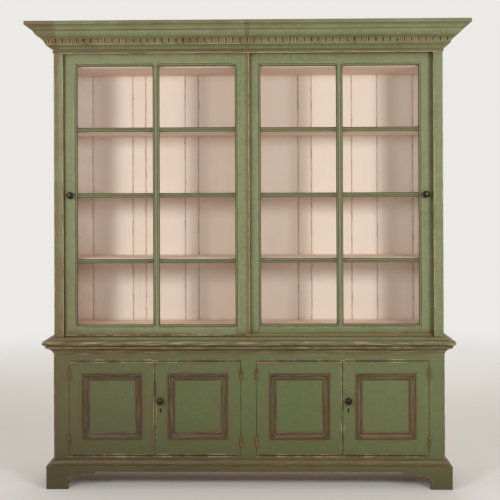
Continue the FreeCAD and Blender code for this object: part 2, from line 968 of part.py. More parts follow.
def bolection_section():
    """Panel moulding from the frame inwards, as distances in and depths below the frame's face."""
    bead_start = bolection_quirk_width
    bead_end = bead_start + bolection_bead_width
    cove_end = bead_end + bolection_cove_width
    round_end = cove_end + bolection_round_width
    return [
        (0, panel_recess),
        (0, bolection_quirk_depth),
        (bead_start, bolection_quirk_depth),
        (bead_start + bolection_ease, 0),
        (bead_end - bolection_ease, 0),
        (bead_end, bolection_quirk_depth / 2),
        (cove_end, bolection_cove_depth, cove_share),
        (cove_end + bolection_ease, bolection_round_depth),
        (round_end - bolection_ease, bolection_round_depth),
        (round_end, bolection_edge_depth),
        (bolection_width, panel_recess),
    ]


def panel_mouldings(left, right, low, high):
    """Four lengths of panel moulding, mitred at the corners of the frame's opening."""
    w = bolection_width
    section = bolection_section()
    lengths = []
    for x, sense in ((left, 1), (right, -1)):
        run = extruded(
            section, lambda u, v: Vector(x + sense * u, front + v, low), Vector(0, 0, high - low)
        )
        corners = [(x, low), (x + sense * w, low + w), (x + sense * w, high - w), (x, high)]
        lengths.append(run.common(face_prism(corners)))
    for z, sense in ((low, 1), (high, -1)):
        run = extruded(
            section, lambda u, v: Vector(left, front + v, z + sense * u), Vector(right - left, 0, 0)
        )
        corners = [(left, z), (left + w, z + sense * w), (right - w, z + sense * w), (right, z)]
        lengths.append(run.common(face_prism(corners)))
    return lengths


def face_prism(corners):
    """A prism through a door's thickness on an outline in its face."""
    start = front - cut_overrun
    depth = hinged_thickness + 2 * cut_overrun
    return extruded(corners, lambda x, z: Vector(x, start, z), Vector(0, depth, 0))


def keyhole_cut(x):
    """A keyhole through the door's stile: a round eye over a narrower slot."""
    eye_height = keyhole_height + keyhole_length / 2 - keyhole_radius
    eye = cylinder(keyhole_radius, hinged_thickness, Vector(x, front, eye_height), Vector(0, 1, 0))
    slot = box(
        x - keyhole_slot_width / 2,
        x + keyhole_slot_width / 2,
        front,
        front + hinged_thickness,
        keyhole_height - keyhole_length / 2,
        eye_height,
    )
    return eye.fuse(slot)


def key_way(door, x):
    """The way for a key through the front wall of the lock."""
    case = lock_case_box(door, 0).BoundBox
    half = keyhole_slot_width / 2
    foot, head = keyhole_height - keyhole_length / 2, keyhole_height + keyhole_length / 2
    return box(x - half, x + half, case.YMin, case.YMin + lock_wall, foot, head)


def lock_case_box(door, margin):
    """The space that a lock takes in the back of its stile, less a margin all round."""
    x0, x1 = sorted((door.free_edge, door.free_edge + (lock_width if door.has_lock else 0)))
    far = front + hinged_thickness
    half = lock_height / 2
    return box(
        x0 + margin,
        x1 - margin,
        far - lock_depth + margin,
        far - margin,
        keyhole_height - half + margin,
        keyhole_height + half - margin,
    )


def lock_bolt_box(door, play):
    """The bar that the lock throws sideways, grown by a play."""
    middle = front + hinged_thickness - lock_depth / 2
    half_depth = lock_depth / 2 - lock_wall - lock_bolt_play + play
    half_height = lock_bolt_height / 2 + play
    return box(
        door.free_edge,
        door.free_edge + lock_bolt_length,
        middle - half_depth,
        middle + half_depth,
        keyhole_height - half_height,
        keyhole_height + half_height,
    )


def lock_mortice(door):
    """The mortice in the neighbouring door's edge that takes the thrown bar."""
    reach = lock_throw - hinged_gap + mortice_spare
    edge = door.free_edge - hinged_gap
    bar = lock_bolt_box(door, working_gap).BoundBox
    return box(edge - reach, edge + cut_overrun, bar.YMin, bar.YMax, bar.ZMin, bar.ZMax)


def bolt_place(door):
    """The line of an edge bolt."""
    return door.free_edge - bolt_inset, front + hinged_thickness / 2


def bolt_bore(door):
    """The hole over a door that its edge bolt shoots into."""
    x, y = bolt_place(door)
    depth = bolt_throw + bolt_hole_spare
    return upright_bar_of(bolt_radius + working_gap, depth, Vector(x, y, base_opening_head))


def edge_bolt(door):
    """A round bolt with a thumb stud, in the door's free edge."""
    x, y = bolt_place(door)
    rod = upright_bar_of(bolt_radius, bolt_length, Vector(x, y, door.high - bolt_length))
    foot = bolt_stud_foot(door)
    half = bolt_stud_size / 2
    stud = box(x, door.free_edge, y - half, y + half, foot, foot + bolt_stud_size)
    return rod.fuse(stud).removeSplitter()


def bolt_stud_foot(door):
    """The height of the thumb stud while the bolt is drawn."""
    return door.high - bolt_plate_drop - bolt_plate_length / 2 - bolt_throw / 2 - bolt_stud_size / 2


def bolt_cutters(door):
    """What an edge bolt needs cut in its stile: its bore, the stud's way and the plate's sinking."""
    x, y = bolt_place(door)
    depth = bolt_length + bolt_play
    bore = upright_bar_of(bolt_radius + bolt_play, depth, Vector(x, y, door.high - depth))
    plate = bolt_plate_box(door)
    way = stud_way(door, x)
    return [bore, plate, way]


def stud_way(door, start):
    """The slot that the stud moves in, from a given line out to the free edge."""
    y = front + hinged_thickness / 2
    half = bolt_stud_size / 2 + bolt_slot_play
    foot = bolt_stud_foot(door) - bolt_slot_play
    head = foot + bolt_stud_size + bolt_throw + 2 * bolt_slot_play
    return box(start, door.free_edge, y - half, y + half, foot, head)


def bolt_plate_box(door):
    """The face plate over an edge bolt."""
    y = front + hinged_thickness / 2
    half = bolt_plate_width / 2
    head = door.high - bolt_plate_drop
    return box(
        door.free_edge - bolt_plate_thickness,
        door.free_edge,
        y - half,
        y + half,
        head - bolt_plate_length,
        head,
    )


def make_hinged_door(door):
    """A framed and panelled door with its hinges, and either a lock and knob or an edge bolt."""
    far = front + hinged_thickness
    inner_left = door.left + hinged_stile_width
    inner_right = door.right - hinged_stile_width
    inner_low = door.low + hinged_bottom_rail
    inner_high = door.high - hinged_top_rail
    members = [
        box(door.left, inner_left, front, far, door.low, door.high),
        box(inner_right, door.right, front, far, door.low, door.high),
        box(inner_left, inner_right, front, far, door.low, inner_low),
        box(inner_left, inner_right, front, far, inner_high, door.high),
    ]
    panel_near = front + panel_recess
    panel_far = panel_near + panel_thickness
    groove = box(
        inner_left - panel_groove_depth,
        inner_right + panel_groove_depth,
        panel_near,
        panel_far,
        inner_low - panel_groove_depth,
        inner_high + panel_groove_depth,
    )
    margin = panel_groove_depth - panel_play
    panel = box(
        inner_left - margin,
        inner_right + margin,
        panel_near,
        panel_far,
        inner_low - margin,
        inner_high + margin,
    )
    cutters = [groove] + [leaf_recess(door, level, True) for level in hinge_levels]
    knob_x = door.free_edge + hinged_knob_inset
    if door.has_lock:
        cutters += [lock_case_box(door, 0), keyhole_cut(knob_x)]
        cutters.append(shank_hole(knob_x, front, hinged_knob_height))
    else:
        neighbour = hinged_doors[hinged_doors.index(door) + 1]
        cutters += bolt_cutters(door) + [lock_mortice(neighbour)]
    save(door.name + "_frame", [member.cut(cutters) for member in members])
    save(door.name + "_panel", [panel])
    save(door.name + "_panel_moulding", panel_mouldings(inner_left, inner_right, inner_low, inner_high))
    save(door.name + "_hinge_leaves", [hinge_leaf(door, level, True) for level in hinge_levels])
    if door.has_lock:
        case = lock_case_box(door, 0).cut(lock_case_box(door, lock_wall))
        case = case.cut([lock_bolt_box(door, lock_bolt_play), key_way(door, knob_x)])
        save(door.name + "_lock_case", [case])
        save(door.name + "_lock_bolt", [lock_bolt_box(door, 0)])
        save(door.name + "_knob", [knob(knob_x, front, hinged_knob_height)])
    else:
        save(door.name + "_bolt", [edge_bolt(door)])
        save(door.name + "_bolt_plate", [bolt_plate_box(door).cut(stud_way(door, bolt_place(door)[0]))])


def make_fixed_leaves():
    leaves = [hinge_leaf(door, level, False) for door in hinged_doors for level in hinge_levels]
    save("hinge_fixed_leaves", leaves)


make_cornice()
make_upper_case()
make_runners()
make_shelves()
make_backs()
make_base_case()
make_base_face()
make_plinth()
make_sliding_door("left", front_door_setback, 1)
make_sliding_door("right", rear_door_setback, -1)
make_fixed_leaves()
for hinged_door in hinged_doors:
    make_hinged_door(hinged_door)
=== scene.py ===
import json
import math
import random
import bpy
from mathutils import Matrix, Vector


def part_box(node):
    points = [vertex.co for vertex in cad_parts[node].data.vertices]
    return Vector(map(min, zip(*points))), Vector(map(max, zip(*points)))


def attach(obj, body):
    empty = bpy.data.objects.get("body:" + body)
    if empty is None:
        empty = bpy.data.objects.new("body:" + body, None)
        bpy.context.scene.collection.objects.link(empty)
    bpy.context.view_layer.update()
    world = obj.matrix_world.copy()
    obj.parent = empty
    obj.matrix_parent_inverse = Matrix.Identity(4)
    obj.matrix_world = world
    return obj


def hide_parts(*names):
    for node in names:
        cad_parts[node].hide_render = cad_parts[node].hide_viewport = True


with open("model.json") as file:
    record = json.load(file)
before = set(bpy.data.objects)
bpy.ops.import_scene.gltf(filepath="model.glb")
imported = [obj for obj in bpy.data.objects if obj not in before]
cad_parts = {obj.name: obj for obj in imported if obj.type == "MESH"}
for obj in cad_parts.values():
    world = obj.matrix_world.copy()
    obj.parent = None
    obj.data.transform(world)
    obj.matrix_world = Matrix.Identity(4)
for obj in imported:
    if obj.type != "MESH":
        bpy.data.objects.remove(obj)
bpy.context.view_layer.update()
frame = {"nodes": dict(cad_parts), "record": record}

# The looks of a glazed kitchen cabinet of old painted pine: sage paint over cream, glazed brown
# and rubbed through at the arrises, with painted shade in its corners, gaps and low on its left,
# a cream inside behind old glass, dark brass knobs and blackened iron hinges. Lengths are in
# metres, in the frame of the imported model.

from types import SimpleNamespace

import bmesh
import bpy
import numpy as np
from mathutils import Matrix, Vector
from mathutils.bvhtree import BVHTree

mm = 0.001
nodes = frame["nodes"]
body_of_node = {
    node: body for body, members in frame["record"]["behaviour"]["bodies"].items() for node in members
}
slot_of_node = {part["node"]: part["material_slot"] for part in frame["record"]["subparts"]}

# How boards are cut, and the lines that wear, staining and painted shade follow
arris_width = 0.9 * mm
chamfered_faces_most = 40
crease_angle = math.radians(28)
iron_crease_angle = math.radians(50)
flat_angle = math.radians(0.6)
edge_angle = math.radians(20)
slice_spacing = {"boards": 26 * mm, "mouldings": 9 * mm}
run_spacing = {"boards": 26 * mm, "mouldings": 45 * mm}
line_kinds = ("arris", "gap", "sight", "nook")
opening_kinds = {"glass_door": "sight", "base_door": "nook"}
far_line = 1.0
sample_spacing = 20 * mm
skin = 0.6 * mm
gap_most = 5 * mm
look_far = 3.0
sight_inset = 20 * mm
line_slack = 3 * mm
cut_slack = 0.001 * mm
bare_share_least = 0.6
place_digits = 6
level_digits = 4
board_seed = 11
grain_shift_most = 9

# Painted shade and staining in the shut-in corners
grime_and_shade_reach = 0.11
grime_and_shade_lift = 2 * mm
grime_and_shade_rays = 40
open_air_least = 0.001

# Where the paint changes, and where painted shade and light fall, as spans over which they do: heights, and
# places across the front
low_heights = (0.0, 0.5)
foot_heights = (0.05, 0.18)
base_heights = (0.705, 0.745)
low_left_heights = (0.9, 1.5)
inside_left_heights = (0.75, 1.5)
left_span = (-0.9, 0.4)
right_span = (0.2, 0.95)
edge_shade_span = (-0.6, 0.6)
low_left_span = (-0.95, -0.6)
left_stile_span = (-0.945, -0.925)
inside_left_span = (-0.9, -0.74)
case_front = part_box("base_face_frame")[0].y
knuckle_rise = 1.5 * mm
cove_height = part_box("waist_moulding")[0].z + 24 * mm

# How wide the paint's lines, painted shade lines, rubbed edges and stains are
glaze_reach = 35 * mm
crease_width = 7 * mm
cove_half = 3.5 * mm
pane_line = 3 * mm
meeting_half = 17 * mm
rub_least, rub_more = 1.4 * mm, 4.4 * mm
fringe_more = 3.6 * mm
chip_reach = 20 * mm
rim_away, rim_half = 7.2 * mm, 2.2 * mm
gap_shadow, base_gap_more = 1.6 * mm, 0.8 * mm
cream_crease = 4 * mm
cream_rub_least, cream_rub_more = 0.6 * mm, 1.6 * mm
crack_least, crack_more = 0.9 * mm, 1.6 * mm
pine_rub = 3 * mm
pine_crack = 1.4 * mm
nail_stain_edge = (2 * mm, 9 * mm)
nail_head_edge = (2.2 * mm, 2.8 * mm)

# How deep each finish's relief is
paint_relief = 0.7 * mm
wood_relief = 0.6 * mm
putty_relief = 0.5 * mm
metal_relief = 0.4 * mm
glass_relief = 2 * mm

# Camera, found from the photograph's perspective; rows and pixels are of a 500 pixel square
image_side = 500
sensor_width = 36
focal_pixels = 947.1
axis_row = 195.7
camera_place = Vector((0.0937, -4.8088, 1.4142))
camera_yaw = 0.01785
camera_pitch = 0.00489
camera_roll = -0.0036

# Studio
floor_half = 30
floor_fade = (1.7, 6.0)
world_strength = 0.49
lamp_target = Vector((0, 0, 1.5))


def shade(red, green, blue):
    """A colour as the screen shows it, 0 to 255, turned into the renderer's own scale."""
    parts = []
    for part in (red, green, blue):
        share = part / 255
        parts.append(share / 12.92 if share <= 0.04045 else ((share + 0.055) / 1.055) ** 2.4)
    return (*parts, 1.0)


# Paints, woods and metals as the eye names them
sage = shade(121, 128, 88)
sage_deep = shade(92, 109, 63)
sage_grey = shade(127, 127, 100)
sage_low = shade(70, 80, 34)
foot_shade = shade(44, 46, 20)
pane_shade_olive = shade(66, 60, 34)
brown_glaze_and_shade = shade(92, 69, 31)
dark_glaze_and_shade = shade(52, 36, 22)
soot_and_shade = shade(34, 36, 18)
gap_shade = shade(40, 23, 15)
cream_rub = shade(190, 174, 140)
pink_rub = shade(172, 142, 112)
rubbed_wood = shade(108, 70, 46)
cream = shade(234, 224, 216)
cream_rosy = shade(232, 213, 202)
cream_shade = shade(214, 194, 174)
level_face_pink = shade(230, 199, 175)
rust_stain_and_shade = shade(182, 138, 108)
crack_brown = shade(150, 112, 84)
pine = shade(186, 144, 98)
pine_ring = shade(140, 94, 58)
pine_grey = shade(130, 112, 92)
knot_brown = shade(84, 52, 32)
putty_grey = shade(186, 174, 148)
brass_dark = shade(36, 30, 26)
brass_rubbed = shade(104, 84, 62)
iron_black = shade(44, 40, 38)
iron_rust = shade(98, 62, 42)
floor_pale = shade(236, 238, 239)
floor_grey = shade(226, 228, 229)
glass_green = shade(254, 255, 254)
sheen_white = shade(255, 255, 255)
studio_warm = shade(255, 240, 225)
backdrop_pale = shade(236, 234, 230)

# Lamps: name, place, size, watts, colour
lamps = (
    ("left_lamp", (-1.98, -3.05, 1.95), 0.9, 49, shade(255, 254, 253)),
    ("right_lamp", (2.1, -3.05, 1.95), 0.9, 57, shade(255, 253, 251)),
    ("back_lamp", (0.4, 4.4, 2.6), 2.0, 60, shade(255, 251, 247)),
)


class Value:
    """A number or vector that one socket carries, so that sums on it are written as sums."""

    def __init__(self, wiring, socket):
        self.wiring, self.socket = wiring, socket

    def math(self, operation, *operands, clamp=False):
        settings = {"operation": operation, "use_clamp": clamp}
        return self.wiring.make("ShaderNodeMath", settings, dict(enumerate(operands)))

    def __add__(self, other):
        return self.math("ADD", self, other)

    def __sub__(self, other):
        return self.math("SUBTRACT", self, other)

    def __rsub__(self, other):
        return self.math("SUBTRACT", other, self)

    def __mul__(self, other):
        return self.math("MULTIPLY", self, other)

    def __truediv__(self, other):
        return self.math("DIVIDE", self, other)

    __radd__ = __add__
    __rmul__ = __mul__

    def least(self, other):
        return self.math("MINIMUM", self, other)

    def most(self, other):
        return self.math("MAXIMUM", self, other)

    def size(self):
        """The number without its sign."""
        return self.math("ABSOLUTE", self)

    def share(self):
        """The number held between 0 and 1."""
        return self.math("ADD", self, 0.0, clamp=True)

    def near(self, reach, sharpness=1.0):
        """For a distance: 1 on the spot, falling to 0 at its reach."""
        return ((1.0 - self / reach) * sharpness).share()

    def between(self, low, high):
        """0 up to low, 1 from high, and smooth between them."""
        settings = {"interpolation_type": "SMOOTHSTEP"}
        inputs = {"Value": self, "From Min": low, "From Max": high}
        return self.wiring.make("ShaderNodeMapRange", settings, inputs)

    def below(self, low, high):
        """1 up to low, 0 from high, and smooth between them."""
        return 1.0 - self.between(low, high)

    def vector_math(self, operation, other=None, output="Vector"):
        inputs = {"Vector": self}
        if other is not None:
            inputs["Scale" if operation == "SCALE" else "Vector_001"] = other
        return self.wiring.make("ShaderNodeVectorMath", {"operation": operation}, inputs, output)

    def stretched(self, x, y, z):
        return self.vector_math("MULTIPLY", (x, y, z))

    def parts(self):
        node = self.wiring.node("ShaderNodeSeparateXYZ", {}, {"Vector": self})
        return [Value(self.wiring, output) for output in node.outputs]


class Wiring:
    """A node tree that is written as calls: a node's type, its settings, then its inputs."""

    def __init__(self, tree):
        self.tree = tree

    def node(self, kind, settings=None, inputs=None):
        node = self.tree.nodes.new(kind)
        for name, setting in (settings or {}).items():
            setattr(node, name, setting)
        for name, value in (inputs or {}).items():
            socket = self.find(node.inputs, name)
            if isinstance(value, Value):
                self.tree.links.new(value.socket, socket)
            else:
                socket.default_value = value
        return node

    @staticmethod
    def find(sockets, name):
        if isinstance(name, int):
            return sockets[name]
        for socket in sockets:
            if socket.identifier == name:
                return socket
        return sockets[name]

    def make(self, kind, settings=None, inputs=None, output=0):
        node = self.node(kind, settings, inputs)
        return Value(self, self.find(node.outputs, output))


class Finish(Wiring):
    """A material's tree, with the few patterns that every finish here is made of."""

    def __init__(self, name):
        self.material = bpy.data.materials.new(name)
        self.material.use_nodes = True
        super().__init__(self.material.node_tree)
        self.tree.nodes.clear()

    def place(self):
        return self.make("ShaderNodeTexCoord", output="Object")

    def attribute(self, name, output="Vector"):
        return self.make("ShaderNodeAttribute", {"attribute_name": name}, output=output)

    def shares(self, *names):
        """Attributes that hold one number each."""
        return [self.attribute(name, "Fac") for name in names]

    def nearest(self, *kinds):
        """For each kind of line, the distance to the nearest of the three that a face's corners carry."""
        found = []
        for kind in kinds:
            first, second, third = self.attribute(kind).parts()
            found.append(first.least(second).least(third))
        return found

    def noise(self, place, scale, detail, roughness, distortion=0.0):
        inputs = {
            "Vector": place,
            "Scale": scale,
            "Detail": detail,
            "Roughness": roughness,
            "Distortion": distortion,
        }
        return self.make("ShaderNodeTexNoise", {}, inputs, "Fac")

    def grained(self, grain, along, across, detail, roughness, distortion=0.0):
        """Noise drawn out along the board."""
        return self.noise(grain.stretched(along, across, across), 1.0, detail, roughness, distortion)

    def mixed(self, factor, first, second):
        inputs = {"Factor_Float": factor, "A_Color": first, "B_Color": second}
        return self.make("ShaderNodeMix", {"data_type": "RGBA"}, inputs, "Result_Color")

    def coated(self, colour, *coats):
        """A colour under coats, laid in turn, each given as how much of it covers and its own colour."""
        for cover, coat in coats:
            colour = self.mixed(cover, colour, coat)
        return colour

    def bump(self, height, distance, strength):
        inputs = {"Height": height, "Distance": distance, "Strength": strength}
        return self.make("ShaderNodeBump", {}, inputs)

    def surface(self, **inputs):
        """A plain surface; an input's name is its socket's with the spaces as underscores."""
        named = {name.replace("_", " "): value for name, value in inputs.items()}
        return self.make("ShaderNodeBsdfPrincipled", {}, named)

    def done(self, shader):
        self.node("ShaderNodeOutputMaterial", {}, {"Surface": shader})
        return self.material


# Finishes
def green_board(f):
    """What the green finish reads: where it lies, the board's shares and lines, and the patterns on it."""
    b = SimpleNamespace(place=f.place(), grain=f.attribute("grain"))
    b.tone, b.grime, b.soil, b.rubbed, b.side = f.shares("tone", "grime", "soil", "rubbed", "side")
    b.arris, b.nook, b.gap, b.sight = f.nearest("arris", "nook", "gap", "sight")
    b.across, _, b.height = b.place.parts()
    b.low, b.base = b.height.below(*low_heights), b.height.below(*base_heights)
    b.left, b.right = b.across.between(*left_span), b.across.between(*right_span)
    b.cloud = f.noise(b.place, 3.4, 3.0, 0.55)
    b.patch = f.noise(b.place, 9.0, 4.0, 0.6)
    b.mottle = f.noise(b.place, 42.0, 5.0, 0.65)
    b.brush = f.grained(b.grain, 3.0, 70.0, 4.0, 0.6)
    return b


def sage_coats(f, b):
    """The sage itself, over its deep shade: paler and greyer in clouds, and darker on the base, with painted
    light lifting it towards the base's right.
    """
    dapple = f.noise(b.place, 150.0, 3.0, 0.7).between(0.5, 0.68)
    return (
        ((b.cloud * 1.1 + b.brush * 0.9 + b.tone * 0.3 - 0.65).share(), sage),
        ((b.mottle.between(0.42, 0.66) * 0.65).share(), sage_grey),
        (dapple * 0.22, sage_deep),
        # Darker on the base; painted light makes it lighter towards the right
        (b.base * (0.68 + b.low * 0.25 - b.right * 0.12), sage_low),
    )


def glaze_and_shade_cover(b, crease_glaze_and_shade):
    """How thick the glazing and painted shade are: most in shut-in corners and creases and beside edges, with
    painted shade heavier on the left, on the upper case's left edge and low on the left.
    """
    streaks = b.patch.between(0.45, 0.75) * 0.32 + b.brush.between(0.5, 0.8) * 0.24
    beside = b.arris.least(b.gap).least(b.nook).near(glaze_reach) * b.patch.between(0.25, 0.55)
    # Glazing beside edges, heavier on the left as painted shade
    edges = beside * (0.82 - b.across.between(*edge_shade_span) * 0.32)
    # Painted shade on the upper case's left edge, and across the left of the base
    left_stile_shade = b.across.below(*left_stile_span) * (1.0 - b.base) * 0.66
    left_shade = (1.0 - b.left) * b.base * 0.2 + left_stile_shade
    # Painted shade low on the left
    low_left_shade = b.across.below(*low_left_span) * b.height.below(*low_left_heights) * 0.42
    # Stain and glazing, with painted shade in shut-in corners and creases and on the left
    dirt_and_shade = b.grime * 1.3 + b.low * 0.2 + streaks + edges + left_shade + low_left_shade + b.soil
    return (dirt_and_shade - 0.2 + crease_glaze_and_shade * (0.6 + b.patch * 0.4)).share() * (0.78 + b.soil * 0.2)


def glaze_and_shade_coats(f, b, glaze_and_shade, crease_glaze_and_shade):
    """The glazing and painted shade, darker panel mouldings and painted shade low on the left, painted shade
    lines in the waist's hollow, in creases and at the panes, painted shade on the feet, specks, dry brushing.
    """
    # Darker panel mouldings, less so on the right as painted light; painted shade low on the base's left
    on_mouldings = (b.soil * 2.0 - 1.3).share() * (1.3 - b.right)
    soot_and_left_shade = ((1.0 - b.left) * b.base * (0.2 + b.low * 0.2) + on_mouldings).share()
    # A painted shade line along the waist moulding's hollow, with glazing
    cove_shade = (b.height - cove_height).size().near(cove_half)
    # Painted shade on the feet and skirt near the floor
    foot = b.height.below(*foot_heights) * (0.8 - b.cloud.between(0.4, 0.6) * 0.4)
    # Painted shade on the glazed doors' side faces and along the panes' edges
    pane_shade = (b.side * 2.0 - 1.0).share().most((1.9 - b.sight / pane_line).share())
    speck = f.noise(b.place, 260.0, 2.0, 0.6).between(0.54, 0.62)
    dry = f.grained(b.grain, 9.0, 190.0, 3.0, 0.55).between(0.5, 0.62)
    return (
        (glaze_and_shade, brown_glaze_and_shade),
        (soot_and_left_shade, soot_and_shade),
        (cove_shade * (0.4 + b.patch * 0.6), dark_glaze_and_shade),
        (foot, foot_shade),
        (pane_shade * (0.8 + b.patch * 0.2), pane_shade_olive),
        ((crease_glaze_and_shade * (0.25 + b.patch * 0.7)).share(), dark_glaze_and_shade),
        (speck * (b.soil * 2.0).share() * 0.5, brown_glaze_and_shade),
        (dry * (b.soil * 2.5 - 0.92).share() * b.rubbed * 0.9, cream_rub),
    )


def rubbed_and_gap_shade_coats(f, b):
    """How worn the paint is, and coats of it: edges and chips rubbed to cream, pink or wood, and painted
    shadow in the gaps and on shut-in side faces.
    """
    ragged = f.noise(b.place, 160.0, 3.0, 0.6)
    fleck = f.grained(b.grain, 60.0, 260.0, 3.0, 0.6)
    meeting = b.across.size().near(meeting_half).between(0.1, 0.5) * (1.0 - b.base)
    rub = f.noise(b.place, 11.0, 4.0, 0.62) + b.rubbed * 0.12 - 0.12 + meeting * 0.08
    width = rub_least + rub.between(0.44, 0.66) * rub_more * (0.35 + ragged * 1.3)
    cream_edge = b.arris.near(width, 2.2) * rub.between(0.36, 0.5)
    fringe = b.gap.near(width + fringe_more, 2.2) * rub.between(0.38, 0.54)
    wood_edge = b.arris.near(width * 0.5, 2.5) * rub.between(0.5, 0.62)
    at_edge = b.arris.least(b.gap).near(chip_reach)
    chip = (fleck + at_edge * 0.1 + rub * 0.04 + b.soil * 0.06).between(0.735, 0.76)
    rim = (b.sight - rim_away).size().near(rim_half) * rub.between(0.4, 0.58)
    worn = (cream_edge.most(fringe).most(chip) * b.rubbed).most(rim * 0.7).share()
    undercoat = f.mixed(b.patch.between(0.48, 0.66), cream_rub, pink_rub)
    # Painted shadow on shut-in side faces and along the gaps between parts
    side_face_shade = (b.side * 2.0).share() * b.grime.between(0.15, 0.4)
    gap_shadow_line = (2.0 - b.gap / (gap_shadow + b.base * base_gap_more)).share() * (0.6 + ragged * 0.6).share()
    return worn, (
        (meeting * (0.2 + b.brush * 0.6).share(), brown_glaze_and_shade),
        (worn * (0.75 - b.base * 0.15), undercoat),
        ((wood_edge * b.rubbed).share() * 0.6, rubbed_wood),
        (side_face_shade.most(gap_shadow_line) * 0.95, gap_shade),
    )


def green_paint():
    """Sage paint over cream, brushed along each board, glazed brown and rubbed through at the arrises, with
    painted shade in its corners, creases, gaps, at the panes, on the feet and low on the left.
    """
    f = Finish("green_paint")
    b = green_board(f)
    # Painted shade and glazing in the creases
    crease_glaze_and_shade = b.nook.near(crease_width)
    glaze_and_shade = glaze_and_shade_cover(b, crease_glaze_and_shade)
    worn, worn_and_gap_shade_coats = rubbed_and_gap_shade_coats(f, b)
    # The cream inside of the uprights, with rust stain and painted shade in its shut-in corners
    lining = f.coated(
        cream,
        ((b.cloud * 0.8 + b.tone * 0.5 - 0.2).share(), cream_rosy),
        ((b.grime * 1.1 - 0.3 + b.brush * 0.4).share() * 0.5, rust_stain_and_shade),
    )
    unpainted_coats = (
        (f.attribute("lining", "Fac"), lining),
        (f.attribute("bare", "Fac"), wood_grain(f, b.grain, b.tone)[0]),
    )
    coats = sage_coats(f, b) + glaze_and_shade_coats(f, b, glaze_and_shade, crease_glaze_and_shade) + worn_and_gap_shade_coats + unpainted_coats

    relief = b.brush * 0.5 + b.mottle * 0.35 - worn * 0.9
    roughness = (0.5 + b.mottle * 0.22 + worn * 0.15 - glaze_and_shade * 0.08).share()
    normal = f.bump(relief, paint_relief, 0.8)
    return f.done(f.surface(Base_Color=f.coated(sage_deep, *coats), Roughness=roughness, Normal=normal))


def cream_paint():
    """Old cream paint inside, stained brown at the ends and edges of the boards, with painted shade in its
    shut-in corners and creases and towards its left, and pinker horizontal faces.
    """
    f = Finish("cream_paint")
    place, grain = f.place(), f.attribute("grain")
    tone, grime, level, track, bare = f.shares("tone", "grime", "level", "soil", "bare")
    arris, nook, gap = f.nearest("arris", "nook", "gap")
    across, _, height = place.parts()

    cloud = f.noise(place, 4.0, 3.0, 0.55)
    mottle = f.noise(place, 55.0, 4.0, 0.6)
    streak = f.grained(grain, 1.6, 48.0, 5.0, 0.62)
    stain = f.grained(grain, 14.0, 30.0, 4.0, 0.6)

    # Painted shade at the left of the inside, most towards the bottom
    inside_left_shade = across.below(*inside_left_span) * (0.75 - height.between(*inside_left_heights) * 0.45)
    # Stains, with painted shade in shut-in corners such as under the shelves
    dirt_and_shade = (grime * 0.85 + inside_left_shade - 0.58 + stain * 0.5 + mottle * 0.16).share()
    width = cream_rub_least + stain.between(0.45, 0.7) * cream_rub_more
    rubbed = arris.near(width, 2.0) * cloud.between(0.4, 0.6)
    crack = (1.6 - gap / (crack_least + stain.between(0.5, 0.75) * crack_more)).share()
    track_dirt = f.mixed(cloud.between(0.4, 0.6), brown_glaze_and_shade, sage_low)
    colour = f.coated(
        cream,
        ((cloud * 0.8 + tone * 0.5 - 0.2).share(), cream_rosy),
        # Horizontal faces of the inside are pinker
        (level * (0.4 + cloud * 0.4).share(), level_face_pink),
        ((streak.between(0.5, 0.8) * 0.3).share(), cream_shade),
        ((dirt_and_shade * 0.6).share(), rust_stain_and_shade),
        # Painted shade in the inside's creases, in the stain's colour
        ((nook.near(cream_crease) * 0.3).share(), rust_stain_and_shade),
        (rubbed * 0.4, pine),
        (crack * (0.35 + mottle * 0.6).share(), crack_brown),
        ((track * 1.8).share() * (0.75 + streak * 0.35).share(), track_dirt),
        (bare, wood_grain(f, grain, tone)[0]),
        *nail_marks(f),
    )

    normal = f.bump(streak * 0.6 + mottle * 0.2 - rubbed * 0.6, wood_relief, 0.7)
    roughness = (0.55 + mottle * 0.2).share()
    return f.done(f.surface(Base_Color=colour, Roughness=roughness, Normal=normal))


def wood_grain(f, grain, tone):
    """Aged pine: its colour with rings along the board and a few knots, and what its relief is made of."""
    sway = f.noise(grain, 2.2, 2.0, 0.5)
    rings = f.grained(grain, 0.8, 26.0, 3.0, 0.55, 1.6)
    pores = f.grained(grain, 9.0, 420.0, 3.0, 0.6)
    inputs = {"Vector": grain.stretched(3.1, 9.0, 9.0), "Scale": 1.0}
    knot = f.make("ShaderNodeTexVoronoi", {}, inputs, "Distance")
    colour = f.coated(
        pine,
        ((rings.between(0.4, 0.66) * 0.6 + sway * 0.2).share(), pine_ring),
        ((pores.between(0.45, 0.75) * 0.4 + tone * 0.3 + sway * 0.2).share(), pine_grey),
        (knot.below(0.05, 0.16) * 0.85, knot_brown),
    )
    return colour, pores, rings


def nail_marks(f):
    """Two coats: the stain round each nail and its rusty head, from how far away the nearest nail is."""
    away = f.attribute("nail").vector_math("LENGTH", output="Value")
    return (away.below(*nail_stain_edge) * 0.5, rust_stain_and_shade), (away.below(*nail_head_edge) * 0.9, iron_rust)


def bare_pine():
    """Unpainted pine, greyed with age, with rings along the board and a few knots."""
    f = Finish("bare_pine")
    grain = f.attribute("grain")
    tone, grime, soil = f.shares("tone", "grime", "soil")
    arris, gap = f.nearest("arris", "gap")

    wood, pores, rings = wood_grain(f, grain, tone)
    painted = f.mixed(f.grained(grain, 3.0, 70.0, 4.0, 0.6), sage_deep, sage)
    colour = f.coated(
        wood,
        ((soil * 1.25).share(), painted),
        # Glazing and painted shade in shut-in corners
        ((grime * 1.2 - 0.05).share() * 0.7, brown_glaze_and_shade),
        (arris.near(pine_rub) * 0.3, pine),
        ((1.6 - gap / pine_crack).share() * 0.8, dark_glaze_and_shade),
        *nail_marks(f),
    )

    normal = f.bump(pores * 0.5 + rings * 0.5, wood_relief, 0.8)
    return f.done(f.surface(Base_Color=colour, Roughness=(0.62 + pores * 0.18).share(), Normal=normal))


